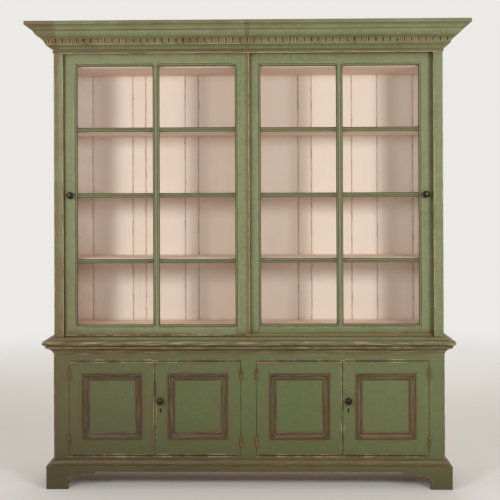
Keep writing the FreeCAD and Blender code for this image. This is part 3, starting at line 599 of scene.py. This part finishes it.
def window_glass():
    """Old drawn glass: clear, slightly green, with a soft sheen on the side that is looked at."""
    f = Finish("window_glass")
    wave = f.noise(f.place().stretched(1.0, 1.0, 2.2), 4.0, 2.0, 0.5)
    entered = 1.0 - f.make("ShaderNodeNewGeometry", output="Backfacing")
    mirror = f.make("ShaderNodeFresnel", {}, {"IOR": 1.25}) * entered
    clear = f.make("ShaderNodeBsdfTransparent", {}, {"Color": glass_green})
    inputs = {"Color": sheen_white, "Roughness": 0.3, "Normal": f.bump(wave, glass_relief, 0.3)}
    gloss = f.make("ShaderNodeBsdfGlossy", {}, inputs)
    return f.done(f.make("ShaderNodeMixShader", {}, {0: mirror, 1: clear, 2: gloss}))


def putty():
    """Hardened putty round the glass, chalky, clouded and flecked with dark crumbs."""
    f = Finish("putty")
    place = f.place()
    crumb = f.noise(place, 220.0, 4.0, 0.6)
    cloud = f.noise(place, 12.0, 3.0, 0.5)
    colour = f.coated(
        putty_grey,
        (cloud.between(0.35, 0.7), cream_shade),
        (crumb.between(0.55, 0.75) * 0.5, brown_glaze_and_shade),
    )
    return f.done(f.surface(Base_Color=colour, Roughness=0.8, Normal=f.bump(crumb, putty_relief, 0.6)))


def old_metal(name, dark, bright, rubbed_share, metallic, polish):
    """Metal gone dark, rubbed brighter in patches and pitted."""
    f = Finish(name)
    place = f.place()
    pit = f.noise(place, 340.0, 4.0, 0.6)
    cloud = f.noise(place, 60.0, 4.0, 0.6)
    rubbed = (cloud.between(0.4, 0.65) * rubbed_share + pit.between(0.55, 0.7) * 0.15).share()
    colour = f.mixed(rubbed, dark, bright)
    roughness = (polish + pit * 0.25 - rubbed * 0.06).share()
    normal = f.bump(pit * 0.6 + cloud * 0.4, metal_relief, 0.6)
    return f.done(f.surface(Base_Color=colour, Roughness=roughness, Metallic=metallic, Normal=normal))


def painted_iron():
    """Hinge iron, dark on its leaves and painted over with the case on the knuckles that stand forward."""
    f = Finish("painted_iron")
    place = f.place()
    pit = f.noise(place, 300.0, 4.0, 0.6)
    cloud = f.noise(place, 46.0, 4.0, 0.6)
    painted = place.parts()[1].below(case_front - knuckle_rise, case_front) * cloud.below(0.56, 0.62)
    metal = f.mixed(pit.between(0.45, 0.65), iron_black, iron_rust)
    paint = f.coated(sage_low, (cloud, brown_glaze_and_shade), (pit.between(0.55, 0.7), cream_rub))
    colour = f.mixed(painted, metal, paint)
    roughness, metallic = (0.45 + pit * 0.25).share(), (1.0 - painted) * 0.6
    normal = f.bump(pit * 0.6 + painted * 0.4, metal_relief, 0.6)
    return f.done(f.surface(Base_Color=colour, Roughness=roughness, Metallic=metallic, Normal=normal))


def plain_floor():
    """A pale floor that fades into the pale background far from the object."""
    f = Finish("studio_floor")
    place = f.place()
    alpha = place.vector_math("LENGTH", output="Value").below(*floor_fade)
    colour = f.mixed(f.noise(place, 1.5, 2.0, 0.5) * 0.3, floor_pale, floor_grey)
    return f.done(f.surface(Base_Color=colour, Roughness=0.85, Alpha=alpha))


finishes = {
    "green_paint": green_paint(),
    "cream_paint": cream_paint(),
    "bare_pine": bare_pine(),
    "window_glass": window_glass(),
    "putty": putty(),
    "dark_brass": old_metal("dark_brass", brass_dark, brass_rubbed, 0.25, 0.8, 0.16),
    "old_iron": old_metal("old_iron", iron_black, iron_rust, 0.5, 0.7, 0.36),
    "painted_iron": painted_iron(),
}
wooden_slots = ("green_paint", "cream_paint", "bare_pine")
iron_slots = ("old_iron", "painted_iron")

# How soiled and how rubbed a node's boards are, by a word in its name
wear_shares = {
    "upper_face_frame": (0.0, 1.35),
    "glazing_bars": (0.0, 0.3),
    "crown": (0.16, 0.15),
    "dentil": (0.2, 0.8),
    "bed_moulding": (0.3, 1.0),
    "runners": (0.75, 1.0),
    "sill": (0.55, 0.3),
    "seat": (0.4, 0.8),
    "base_top": (0.5, 1.4),
    "waist": (0.5, 0.7),
    "panel_moulding": (0.8, 0.12),
    "plinth": (0.56, 0.2),
    "skirt": (0.28, 0.35),
    "foot_blocks": (0.4, 0.3),
}
plain_wear_shares = (0.0, 1.0)

# Which way a face looks, and where the nails of the back planks are
front_facing_share = 0.8
centre_board_half = 40 * mm
nail_edge = 22 * mm
nail_column_shares = (0.2, 0.8)
shelf_points = [point.co for name in ("upper_shelves", "base_shelves") for point in nodes[name].data.vertices]
shelf_edges = sorted({round(place.z, level_digits) for place in shelf_points})
nail_levels = (np.array(shelf_edges[::2]) + np.array(shelf_edges[1::2])) / 2
moulding_names = ("crown", "dentil", "moulding", "skirt", "bars", "base_top")


# Woodwork
def boards_of(node):
    """The separate boards of a node, each a list of corner rings; a board ends where its faces close."""
    places = [tuple(round(part, place_digits) for part in vertex.co) for vertex in node.data.vertices]
    board, unmatched = [], {}
    for face in node.data.polygons:
        ring = [places[index] for index in face.vertices]
        board.append(ring)
        for start, end in zip(ring, ring[1:] + ring[:1]):
            if start == end:
                continue
            if unmatched.get((end, start)):
                unmatched[(end, start)] -= 1
                if not unmatched[(end, start)]:
                    del unmatched[(end, start)]
            else:
                unmatched[(start, end)] = unmatched.get((start, end), 0) + 1
        if not unmatched:
            yield board
            board = []


def sewn(rings):
    """A board's faces sewn together, with flat triangles joined back into the faces they came from."""
    bm = bmesh.new()
    corners = {}
    for ring in rings:
        for place in ring:
            if place not in corners:
                corners[place] = bm.verts.new(place)
        if len(set(ring)) == len(ring):
            bm.faces.new([corners[place] for place in ring])
    bmesh.ops.dissolve_limit(bm, angle_limit=flat_angle, verts=bm.verts, edges=bm.edges)
    bm.normal_update()
    return bm


def is_corner(edge):
    return len(edge.link_faces) == 2 and edge.calc_face_angle() > edge_angle


def stands_in_wood(around, place, along):
    """Whether a place is in a board: the first face that a ray from it meets is then left, not entered."""
    normal = around.ray_cast(place, along, look_far)[1]
    return normal is not None and normal.dot(along) > 0


def kind_at(around, place, normals):
    """What a spot on an arris is: open, beside a narrow gap, or covered by the next board."""
    kind = "arris"
    for near, far in (normals, normals[::-1]):
        beside = place + (far - near) * skin
        if stands_in_wood(around, beside, near):
            return "covered"
        if around.ray_cast(beside, far, gap_most)[0] is not None:
            kind = "gap"
    return kind


def spans_of(edge, around, name, low, high):
    """An arris cut into the spans that are open, beside a gap, at a pane or covered."""
    start, end = [vertex.co.copy() for vertex in edge.verts]
    if "planks" in name:
        return [("gap", start, end)]
    if slot_of_node[name] != "green_paint":
        return [("arris", start, end)]
    normals = [face.normal for face in edge.link_faces]
    count = math.ceil((end - start).length / sample_spacing)
    kinds = [kind_at(around, start.lerp(end, (step + 0.5) / count), normals) for step in range(count)]
    middle = (start + end) / 2
    inside = all(low[axis] + sight_inset < middle[axis] < high[axis] - sight_inset for axis in (0, 2))
    if name.startswith(tuple(opening_kinds)) and (inside or "bars" in name):
        opening = next(kind for start_of, kind in opening_kinds.items() if name.startswith(start_of))
        kinds = ["covered" if kind == "covered" else opening for kind in kinds]
    spans, first = [], 0
    for step in range(1, count + 1):
        if step == count or kinds[step] != kinds[first]:
            spans.append((kinds[first], start.lerp(end, first / count), start.lerp(end, step / count)))
            first = step
    return spans


def mark_lines(bm, around, name):
    """Numbers the faces and finds each one's lines of every kind, and says which arrises are bare."""
    source = bm.faces.layers.int.new("source")
    lines = [{kind: [] for kind in line_kinds} for _ in bm.faces]
    for index, face in enumerate(bm.faces):
        face[source] = index
    bare = []
    low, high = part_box(name)
    for edge in bm.edges:
        if not is_corner(edge):
            continue
        if not edge.is_convex:
            spans = [("nook", *[vertex.co.copy() for vertex in edge.verts])]
        else:
            spans = spans_of(edge, around, name, low, high)
            covered = sum((end - start).length for kind, start, end in spans if kind == "covered")
            if covered < (1 - bare_share_least) * edge.calc_length():
                bare.append(edge)
        for kind, start, end in spans:
            if kind != "covered":
                for face in edge.link_faces:
                    lines[face[source]][kind].append((start, end))
    return lines, bare


def soften(bm, angle):
    """Shades a board round, but for its edges that turn by more than an angle."""
    for face in bm.faces:
        face.smooth = True
    for edge in bm.edges:
        edge.smooth = len(edge.link_faces) == 2 and edge.calc_face_angle() < angle


def chamfer(bm, arrises):
    """Takes the sharpness off a plain board's bare arrises."""
    settings = {"offset": arris_width, "offset_type": "OFFSET", "segments": 1, "affect": "EDGES"}
    bmesh.ops.bevel(bm, geom=arrises, clamp_overlap=True, **settings)
    bm.normal_update()


def sliced(bm, spacings):
    """Cuts a board into a grid, so that what its points carry can vary along it."""
    for axis in range(3):
        places = [vertex.co[axis] for vertex in bm.verts]
        low, high = min(places), max(places)
        count = int((high - low) / spacings[axis])
        for step in range(1, count + 1):
            at = Vector((0, 0, 0))
            at[axis] = low + (high - low) * step / (count + 1)
            along = Vector((0, 0, 0))
            along[axis] = 1
            geom = bm.verts[:] + bm.edges[:] + bm.faces[:]
            bmesh.ops.bisect_plane(bm, geom=geom, dist=cut_slack, plane_co=at, plane_no=along)


def line_distances(lines, faces, owner, corners, corner_face, places):
    """At each face corner, the distances to the three lines of its face that lie nearest to its middle."""
    found = np.full((len(corners), 3), far_line)
    for source, pairs in enumerate(lines):
        mine = np.flatnonzero(owner == source)
        if not pairs or not len(mine):
            continue
        starts = np.array([pair[0] for pair in pairs])
        spans = np.array([pair[1] for pair in pairs]) - starts
        lengths = np.linalg.norm(spans, axis=1)
        spans = spans / lengths[:, None]
        offsets = faces[mine][:, None, :] - starts[None]
        along = (offsets * spans).sum(2)
        gaps = np.linalg.norm(offsets - along[..., None] * spans, axis=2)
        gaps[(along < -line_slack) | (along > lengths + line_slack)] = far_line
        nearest = np.argsort(gaps, axis=1)[:, :3]
        missing = np.take_along_axis(gaps, nearest, 1) >= far_line
        rows = np.flatnonzero(np.isin(corner_face, mine))
        which = np.searchsorted(mine, corner_face[rows])
        picked = nearest[which]
        offsets = places[corners[rows]][:, None, :] - starts[picked]
        away = np.linalg.norm(np.cross(offsets, spans[picked]), axis=2)
        away[missing[which]] = far_line
        found[rows, : picked.shape[1]] = away
    return found


def keep(mesh, name, kind, domain, values):
    """Stores an array as a named attribute of the mesh."""
    attribute = mesh.attributes.new(name, kind, domain)
    attribute.data.foreach_set("value" if kind == "FLOAT" else "vector", values.astype(np.float32).ravel())


def nail_offsets(middles, places, corners, counts):
    """How far each face corner lies from the nail that is nearest to its face, across the plank and up it."""
    low, high = places.min(0), places.max(0)
    rows = nail_levels[(low[2] < nail_levels - nail_edge) & (nail_levels + nail_edge < high[2])]
    rows = np.concatenate([rows, [low[2] + nail_edge, high[2] - nail_edge]])
    columns = low[0] + (high[0] - low[0]) * np.array(nail_column_shares)
    row = rows[np.abs(middles[:, 2, None] - rows).argmin(1)]
    column = columns[np.abs(middles[:, 0, None] - columns).argmin(1)]
    offsets = places[corners] - np.repeat(np.stack([column, column * 0, row], 1), counts, 0)
    offsets[:, 1] = 0
    return offsets


def wear_of(name):
    """How soiled and how rubbed a node is, by the word of the table that its name holds."""
    return next((shares for word, shares in wear_shares.items() if word in name), plain_wear_shares)


def unpainted(name, facing, middles):
    """Which faces carry the cream of the inside instead of the green, and which are left as bare pine."""
    inward = (facing[:, 0] * middles[:, 0] < -front_facing_share * np.abs(middles[:, 0])) | (
        np.abs(middles[:, 0]) < centre_board_half
    )
    none = np.zeros(len(facing), bool)
    if name == "upper_uprights":
        return inward, none
    if name == "base_uprights":
        return none, inward
    if name in ("upper_back_planks", "base_face_frame"):
        return none, facing[:, 1] > front_facing_share
    return none, none


def cut_board(rings, name, around):
    """A board as a mesh cut into a grid, with the lines of its faces and the axis that it runs along."""
    kind = "mouldings" if any(word in name for word in moulding_names) else "boards"
    bm = sewn(rings)
    lines, bare = mark_lines(bm, around, name)
    if kind == "boards" and len(bm.faces) <= chamfered_faces_most:
        chamfer(bm, bare)
    places = np.array([vertex.co for vertex in bm.verts])
    length_axis = int((places.max(0) - places.min(0)).argmax())
    spacings = [slice_spacing[kind]] * 3
    spacings[length_axis] = run_spacing[kind]
    sliced(bm, spacings)
    soften(bm, crease_angle)
    mesh = bpy.data.meshes.new("board")
    bm.to_mesh(mesh)
    bm.free()
    return mesh, lines, length_axis


def as_array(items, name, width=1, kind=float):
    """One property of every point, corner or face as an array."""
    values = np.empty(len(items) * width, kind)
    items.foreach_get(name, values)
    return values.reshape(-1, width) if width > 1 else values


def dressed_board(rings, name, around, rng):
    """One board as a mesh that carries its arris and corner lines, its grain, tone and soil."""
    mesh, lines, length_axis = cut_board(rings, name, around)
    places = as_array(mesh.vertices, "co", 3)
    corners = as_array(mesh.loops, "vertex_index", kind=int)
    counts = as_array(mesh.polygons, "loop_total", kind=int)
    middles, facing = as_array(mesh.polygons, "center", 3), as_array(mesh.polygons, "normal", 3)
    owner = as_array(mesh.attributes["source"].data, "value", kind=int)
    corner_face = np.repeat(np.arange(len(counts)), counts)
    for kind in line_kinds:
        picked = [face_lines[kind] for face_lines in lines]
        away = line_distances(picked, middles, owner, corners, corner_face, places)
        keep(mesh, kind, "FLOAT_VECTOR", "CORNER", away)
    mesh.attributes.remove(mesh.attributes["source"])

    order = [length_axis] + [axis for axis in range(3) if axis != length_axis]
    shift = np.array([rng.uniform(-grain_shift_most, grain_shift_most) for _ in range(3)])
    keep(mesh, "grain", "FLOAT_VECTOR", "POINT", places[:, order] + shift)
    for what, share in zip(("tone", "soil", "rubbed"), (rng.random(), *wear_of(name))):
        keep(mesh, what, "FLOAT", "POINT", np.full(len(places), share))
    if "planks" in name:
        keep(mesh, "nail", "FLOAT_VECTOR", "CORNER", nail_offsets(middles, places, corners, counts))
    else:
        keep(mesh, "nail", "FLOAT_VECTOR", "POINT", np.full((len(places), 3), far_line))
    lining, bare = unpainted(name, facing, middles)
    turned_away = np.abs(facing[:, 1]) < front_facing_share
    face_shares = {
        "level": np.abs(facing[:, 2]) > front_facing_share,
        "lining": lining,
        "bare": bare,
        "side": turned_away * (1.0 if name.startswith("glass_door") else 0.5),
    }
    for what, shares in face_shares.items():
        keep(mesh, what, "FLOAT", "FACE", shares)
    return mesh


def dressed(name, around, rng):
    """A node's boards as one piece in the frame's place."""
    bm = bmesh.new()
    for rings in boards_of(nodes[name]):
        mesh = dressed_board(rings, name, around, rng)
        bm.from_mesh(mesh)
        bpy.data.meshes.remove(mesh)
    return linked(bm, name + "_wood")


def linked(bm, name):
    """A finished bmesh as an object in the scene."""
    mesh = bpy.data.meshes.new(name)
    bm.to_mesh(mesh)
    bm.free()
    piece = bpy.data.objects.new(name, mesh)
    bpy.context.scene.collection.objects.link(piece)
    return piece


def whole_object():
    """Everything but the glass in one mesh, for rays to meet."""
    bm = bmesh.new()
    for name, node in nodes.items():
        if slot_of_node[name] != "window_glass":
            bm.from_mesh(node.data)
    return bm


def sky_directions(count):
    """Directions spread evenly over the sphere."""
    turn = math.pi * (3 - math.sqrt(5))
    for index in range(count):
        z = 1 - (2 * index + 1) / count
        ring = math.sqrt(1 - z * z)
        yield ring * math.cos(turn * index), ring * math.sin(turn * index), z


def node_group(name, *inputs):
    """A Geometry Nodes tree that takes a mesh and named inputs and gives a mesh, and its inputs' values."""
    tree = bpy.data.node_groups.new(name, "GeometryNodeTree")
    for socket, kind in (("Geometry", "Geometry"), *inputs):
        tree.interface.new_socket(socket, in_out="INPUT", socket_type="NodeSocket" + kind)
    tree.interface.new_socket("Geometry", in_out="OUTPUT", socket_type="NodeSocketGeometry")
    w = Wiring(tree)
    entry = w.node("NodeGroupInput")
    return w, [Value(w, output) for output in entry.outputs[: len(inputs) + 1]]


def grown(pieces, tree, settings):
    """Runs a tree over pieces and keeps what it makes in their own meshes."""
    sockets = {item.name: item.identifier for item in tree.interface.items_tree if item.in_out == "INPUT"}
    for piece in pieces:
        modifier = piece.modifiers.new(tree.name, "NODES")
        modifier.node_group = tree
        for name, setting in settings.items():
            modifier[sockets[name]] = setting
    graph = bpy.context.evaluated_depsgraph_get()
    for piece in pieces:
        mesh = bpy.data.meshes.new_from_object(piece.evaluated_get(graph), depsgraph=graph)
        piece.modifiers.clear()
        piece.data = mesh


def grime_and_shade_tree():
    """Stores at every point how much of the open air over it is shut in by the object; the finishes paint
    stain, glazing and shade from it.
    """
    w, (piece, around, reach, lift) = node_group(
        "grime", ("Object", "Object"), ("Reach", "Float"), ("Lift", "Float")
    )
    target = w.make("GeometryNodeObjectInfo", {}, {"Object": around}, "Geometry")
    normal = w.make("GeometryNodeInputNormal")
    start = w.make("GeometryNodeInputPosition").vector_math("ADD", normal.vector_math("SCALE", lift))
    shut, open_air = 0.0, 0.0
    for direction in sky_directions(grime_and_shade_rays):
        facing = normal.vector_math("DOT_PRODUCT", direction, "Value").most(0.0)
        inputs = {
            "Target Geometry": target,
            "Source Position": start,
            "Ray Direction": direction,
            "Ray Length": reach,
        }
        ray = w.node("GeometryNodeRaycast", {}, inputs)
        hit, gap = Value(w, ray.outputs["Is Hit"]), Value(w, ray.outputs["Hit Distance"])
        shut = shut + facing * hit * (1.0 - gap / reach)
        open_air = open_air + facing
    inputs = {"Geometry": piece, "Name": "grime", "Value": shut / open_air.most(open_air_least)}
    kept = w.make("GeometryNodeStoreNamedAttribute", {"domain": "POINT"}, inputs)
    w.node("NodeGroupOutput", {}, {"Geometry": kept})
    return w.tree


def add_grime_and_shade(pieces):
    """Keeps in the pieces' meshes how far the object shuts each of their points in."""
    around = linked(whole_object(), "whole_object")
    grown(pieces, grime_and_shade_tree(), {"Object": around, "Reach": grime_and_shade_reach, "Lift": grime_and_shade_lift})
    bpy.data.objects.remove(around)


def wear(piece, node):
    """Gives a piece the finish, body and slot of the node that it stands for."""
    slot = slot_of_node[node]
    piece.data.materials.clear()
    piece.data.materials.append(finishes[slot])
    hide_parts(node)
    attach(piece, body_of_node[node])


def make_woodwork():
    rng = random.Random(board_seed)
    around = BVHTree.FromBMesh(whole_object())
    wooden = {}
    for name in sorted(nodes):
        if slot_of_node[name] in wooden_slots:
            wooden[name] = dressed(name, around, rng)
    add_grime_and_shade(list(wooden.values()))
    for name, piece in wooden.items():
        wear(piece, name)


# Knobs
def smooth_line(points, steps):
    """Points along a curve that passes through those given."""
    ends = np.array([points[0], *points, points[-1]])
    line = []
    for p, q, r, s in zip(ends, ends[1:], ends[2:], ends[3:]):
        bend, twist = 2 * p - 5 * q + 4 * r - s, 3 * q - p - 3 * r + s
        for t in np.arange(steps) / steps:
            line.append(q + ((r - p) * t + bend * t**2 + twist * t**3) / 2)
    return line + [ends[-1]]


def turned(bm, profile, foot, axis, sides):
    """A closed turned shape: profile is (radius, height) from the foot along the axis."""
    turn = axis.to_track_quat("Z", "Y").to_matrix()
    rings = []
    for radius, height in profile:
        ring = []
        for side in range(sides):
            angle = 2 * math.pi * side / sides
            spot = Vector((radius * math.cos(angle), radius * math.sin(angle), height))
            ring.append(bm.verts.new(foot + turn @ spot))
        rings.append(ring)
    for lower, upper in zip(rings, rings[1:]):
        for side in range(sides):
            after = (side + 1) % sides
            bm.faces.new((lower[side], lower[after], upper[after], upper[side]))
    bm.faces.new(rings[0][::-1])
    bm.faces.new(rings[-1])


knob_sides = 40
rose_steps, head_steps = 3, 5
knob_rose_shares = ((0.64, 0.0), (0.66, 0.03), (0.62, 0.07), (0.36, 0.1), (0.29, 0.16))
knob_head_shares = (
    (0.29, 0.16),
    (0.28, 0.3),
    (0.45, 0.37),
    (0.84, 0.47),
    (1.0, 0.63),
    (0.97, 0.8),
    (0.74, 0.93),
    (0.42, 0.985),
    (0.06, 1.0),
)


def make_knobs():
    for name in nodes:
        if not name.endswith("_knob"):
            continue
        low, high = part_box(name)
        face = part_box(name.replace("_knob", "_frame"))[0].y
        radius, reach = (high.x - low.x) / 2, face - low.y
        foot = Vector(((low.x + high.x) / 2, face, (low.z + high.z) / 2))
        bm = bmesh.new()
        shares = smooth_line(knob_rose_shares, rose_steps)[:-1] + smooth_line(knob_head_shares, head_steps)
        profile = [(radius * width, reach * height) for width, height in shares]
        turned(bm, profile, foot, Vector((0, -1, 0)), knob_sides)
        for part in bm.faces:
            part.smooth = len(part.verts) == 4
        wear(linked(bm, name + "_turned"), name)


# Ironwork, with screws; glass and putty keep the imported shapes
def make_fittings():
    for name, node in nodes.items():
        slot = slot_of_node[name]
        if slot in iron_slots:
            wear(rounded(name), name)
        elif slot not in wooden_slots and not name.endswith("_knob"):
            node.data.materials.clear()
            node.data.materials.append(finishes[slot])


def rounded(name):
    """A node sewn together and shaded round wherever its flats stand for a curve."""
    bm = bmesh.new()
    for rings in boards_of(nodes[name]):
        part = sewn(rings)
        soften(part, iron_crease_angle)
        mesh = bpy.data.meshes.new("part")
        part.to_mesh(mesh)
        part.free()
        bm.from_mesh(mesh)
        bpy.data.meshes.remove(mesh)
    return linked(bm, name + "_iron")


screw_radius = 2.6 * mm
screw_rises = {"leaf": 0.1 * mm, "plate": 0.3 * mm, "case": 0.5 * mm}
screw_sides = 14
screw_rim_steps = 7
screw_seed = 5
slot_share = 0.16
slot_floor_share = 0.3
leaf_screw_spread = 17 * mm
leaf_screw_inset = 8 * mm
plate_screw_inset = 5 * mm


def screw_head():
    """A slotted screw head of radius 1 whose face stands at height 1."""
    bm = bmesh.new()
    slot_angle = math.asin(slot_share)
    turns = [step / screw_rim_steps for step in range(screw_rim_steps + 1)]
    rim = [slot_angle + turn * (math.pi - 2 * slot_angle) for turn in turns]
    outlines = [([2 * math.pi * step / screw_sides for step in range(screw_sides)], slot_floor_share)]
    outlines += [(rim, 1.0), ([angle + math.pi for angle in rim], 1.0)]
    for angles, height in outlines:
        lower = [bm.verts.new((math.cos(angle), math.sin(angle), -1)) for angle in angles]
        upper = [bm.verts.new((math.cos(angle), math.sin(angle), height)) for angle in angles]
        bm.faces.new(lower[::-1])
        bm.faces.new(upper)
        for a, b, c, d in zip(lower, lower[1:] + lower[:1], upper[1:] + upper[:1], upper):
            bm.faces.new((a, b, c, d))
    return linked(bm, "screw_head")


def leaf_screws(rings):
    """Three screws down the open face of a hinge leaf."""
    spots = np.array([place for ring in rings for place in ring])
    low, high = spots.min(0), spots.max(0)
    pin = (low[0] + high[0]) / 2
    deep = spots[spots[:, 1] > high[1] - leaf_screw_inset][:, 0]
    face = deep[np.abs(deep - pin).argmin()]
    facing = (-1 if deep.mean() > pin else 1, 0, 0)
    for step in (-1, 0, 1):
        place = (face, high[1] - leaf_screw_inset, (low[2] + high[2]) / 2 + step * leaf_screw_spread)
        yield place, facing, screw_rises["leaf"]


def screw_places():
    """Where every screw sits, by body: its place, the way that it faces and how far it stands out."""
    places = {}
    for name in nodes:
        found = places.setdefault(body_of_node[name], [])
        low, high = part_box(name)
        if "hinge_leaves" in name or "fixed_leaves" in name:
            for rings in boards_of(nodes[name]):
                found.extend(leaf_screws(rings))
        elif name.endswith("bolt_plate"):
            for z in (low.z + plate_screw_inset, high.z - plate_screw_inset):
                found.append(((high.x, (low.y + high.y) / 2, z), (1, 0, 0), screw_rises["plate"]))
        elif name.endswith("lock_case"):
            for x in (low.x + plate_screw_inset, high.x - plate_screw_inset):
                for z in (low.z + plate_screw_inset, high.z - plate_screw_inset):
                    found.append(((x, high.y, z), (0, 1, 0), screw_rises["case"]))
    return {body: found for body, found in places.items() if found}


def screw_tree():
    """Puts a screw head on every point, along its facing, each with its slot turned its own way."""
    w, (points, head, finish, seed) = node_group(
        "screws", ("Head", "Object"), ("Finish", "Material"), ("Seed", "Int")
    )
    vectors = {"data_type": "FLOAT_VECTOR"}
    facing = w.make("GeometryNodeInputNamedAttribute", vectors, {"Name": "facing"}, "Attribute")
    size = w.make("GeometryNodeInputNamedAttribute", vectors, {"Name": "size"}, "Attribute")
    along = w.make("FunctionNodeAlignRotationToVector", {"axis": "Z"}, {"Vector": facing})
    inputs = {"Min": (0, 0, 0), "Max": (0, 0, math.pi), "Seed": seed}
    roll = w.make("FunctionNodeRandomValue", vectors, inputs, "Value")
    rolled = w.make("FunctionNodeEulerToRotation", {}, {"Euler": roll})
    inputs = {"Rotation": along, "Rotate By": rolled}
    turn = w.make("FunctionNodeRotateRotation", {"rotation_space": "LOCAL"}, inputs)
    shape = w.make("GeometryNodeObjectInfo", {}, {"Object": head}, "Geometry")
    inputs = {"Points": points, "Instance": shape, "Rotation": turn, "Scale": size}
    made = w.make("GeometryNodeInstanceOnPoints", {}, inputs)
    real = w.make("GeometryNodeRealizeInstances", {}, {"Geometry": made})
    finished = w.make("GeometryNodeSetMaterial", {}, {"Geometry": real, "Material": finish})
    w.node("NodeGroupOutput", {}, {"Geometry": finished})
    return w.tree


def make_screws():
    head, tree = screw_head(), screw_tree()
    for body, found in screw_places().items():
        places, facings, rises = zip(*found)
        points = bpy.data.meshes.new("screw_points")
        points.from_pydata(places, [], [])
        keep(points, "facing", "FLOAT_VECTOR", "POINT", np.array(facings))
        sizes = np.array([(screw_radius, screw_radius, rise) for rise in rises])
        keep(points, "size", "FLOAT_VECTOR", "POINT", sizes)
        piece = bpy.data.objects.new(body + "_screws", points)
        bpy.context.scene.collection.objects.link(piece)
        grown([piece], tree, {"Head": head, "Finish": finishes["old_iron"], "Seed": screw_seed})
        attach(piece, body)
    bpy.data.objects.remove(head)


# Studio
def make_stage():
    bm = bmesh.new()
    bmesh.ops.create_grid(bm, x_segments=1, y_segments=1, size=floor_half)
    floor = linked(bm, "studio_floor")
    floor.data.materials.append(plain_floor())

    world = bpy.data.worlds.new("studio")
    bpy.context.scene.world = world
    world.use_nodes = True
    world.node_tree.nodes.clear()
    w = Wiring(world.node_tree)
    path = w.node("ShaderNodeLightPath")
    seen_by = ("Camera", "Glossy", "Transmission")
    camera, glossy, through = [Value(w, path.outputs[f"Is {kind} Ray"]) for kind in seen_by]
    lit = w.make("ShaderNodeBackground", {}, {"Color": studio_warm, "Strength": world_strength})
    shown = w.make("ShaderNodeBackground", {}, {"Color": backdrop_pale, "Strength": 1.0})
    mixed = w.make("ShaderNodeMixShader", {}, {0: camera.most(glossy).most(through), 1: lit, 2: shown})
    w.node("ShaderNodeOutputWorld", {}, {"Surface": mixed})


def make_lights():
    """Three round lamps: a little weaker on the left, and a wide one behind for the back."""
    for name, place, size, watts, colour in lamps:
        light = bpy.data.lights.new(name, "AREA")
        light.shape = "DISK"
        light.size = size
        light.energy = watts
        light.color = colour[:3]
        holder = bpy.data.objects.new(name, light)
        holder.location = place
        holder.rotation_euler = (lamp_target - Vector(place)).to_track_quat("-Z", "Y").to_euler()
        holder.visible_camera = False
        bpy.context.scene.collection.objects.link(holder)


def make_camera():
    """The camera where the photograph was taken from, with its axis above the picture's middle."""
    sin_yaw, cos_yaw = math.sin(camera_yaw), math.cos(camera_yaw)
    sin_pitch, cos_pitch = math.sin(camera_pitch), math.cos(camera_pitch)
    forward = Vector((-sin_yaw * cos_pitch, cos_yaw * cos_pitch, sin_pitch))
    level = Vector((cos_yaw, sin_yaw, 0))
    right = level * math.cos(camera_roll) + level.cross(forward) * math.sin(camera_roll)
    turn = Matrix((right, right.cross(forward), -forward)).transposed().to_4x4()
    view = bpy.data.cameras.new("camera")
    view.sensor_width = sensor_width
    view.lens = sensor_width * focal_pixels / image_side
    view.shift_y = axis_row / image_side - 0.5
    camera = bpy.data.objects.new("camera", view)
    camera.matrix_world = Matrix.Translation(camera_place) @ turn
    bpy.context.scene.collection.objects.link(camera)
    bpy.context.scene.camera = camera


make_woodwork()
make_knobs()
make_fittings()
make_screws()
make_stage()
make_lights()
make_camera()
bpy.context.scene.view_settings.view_transform = "Standard"
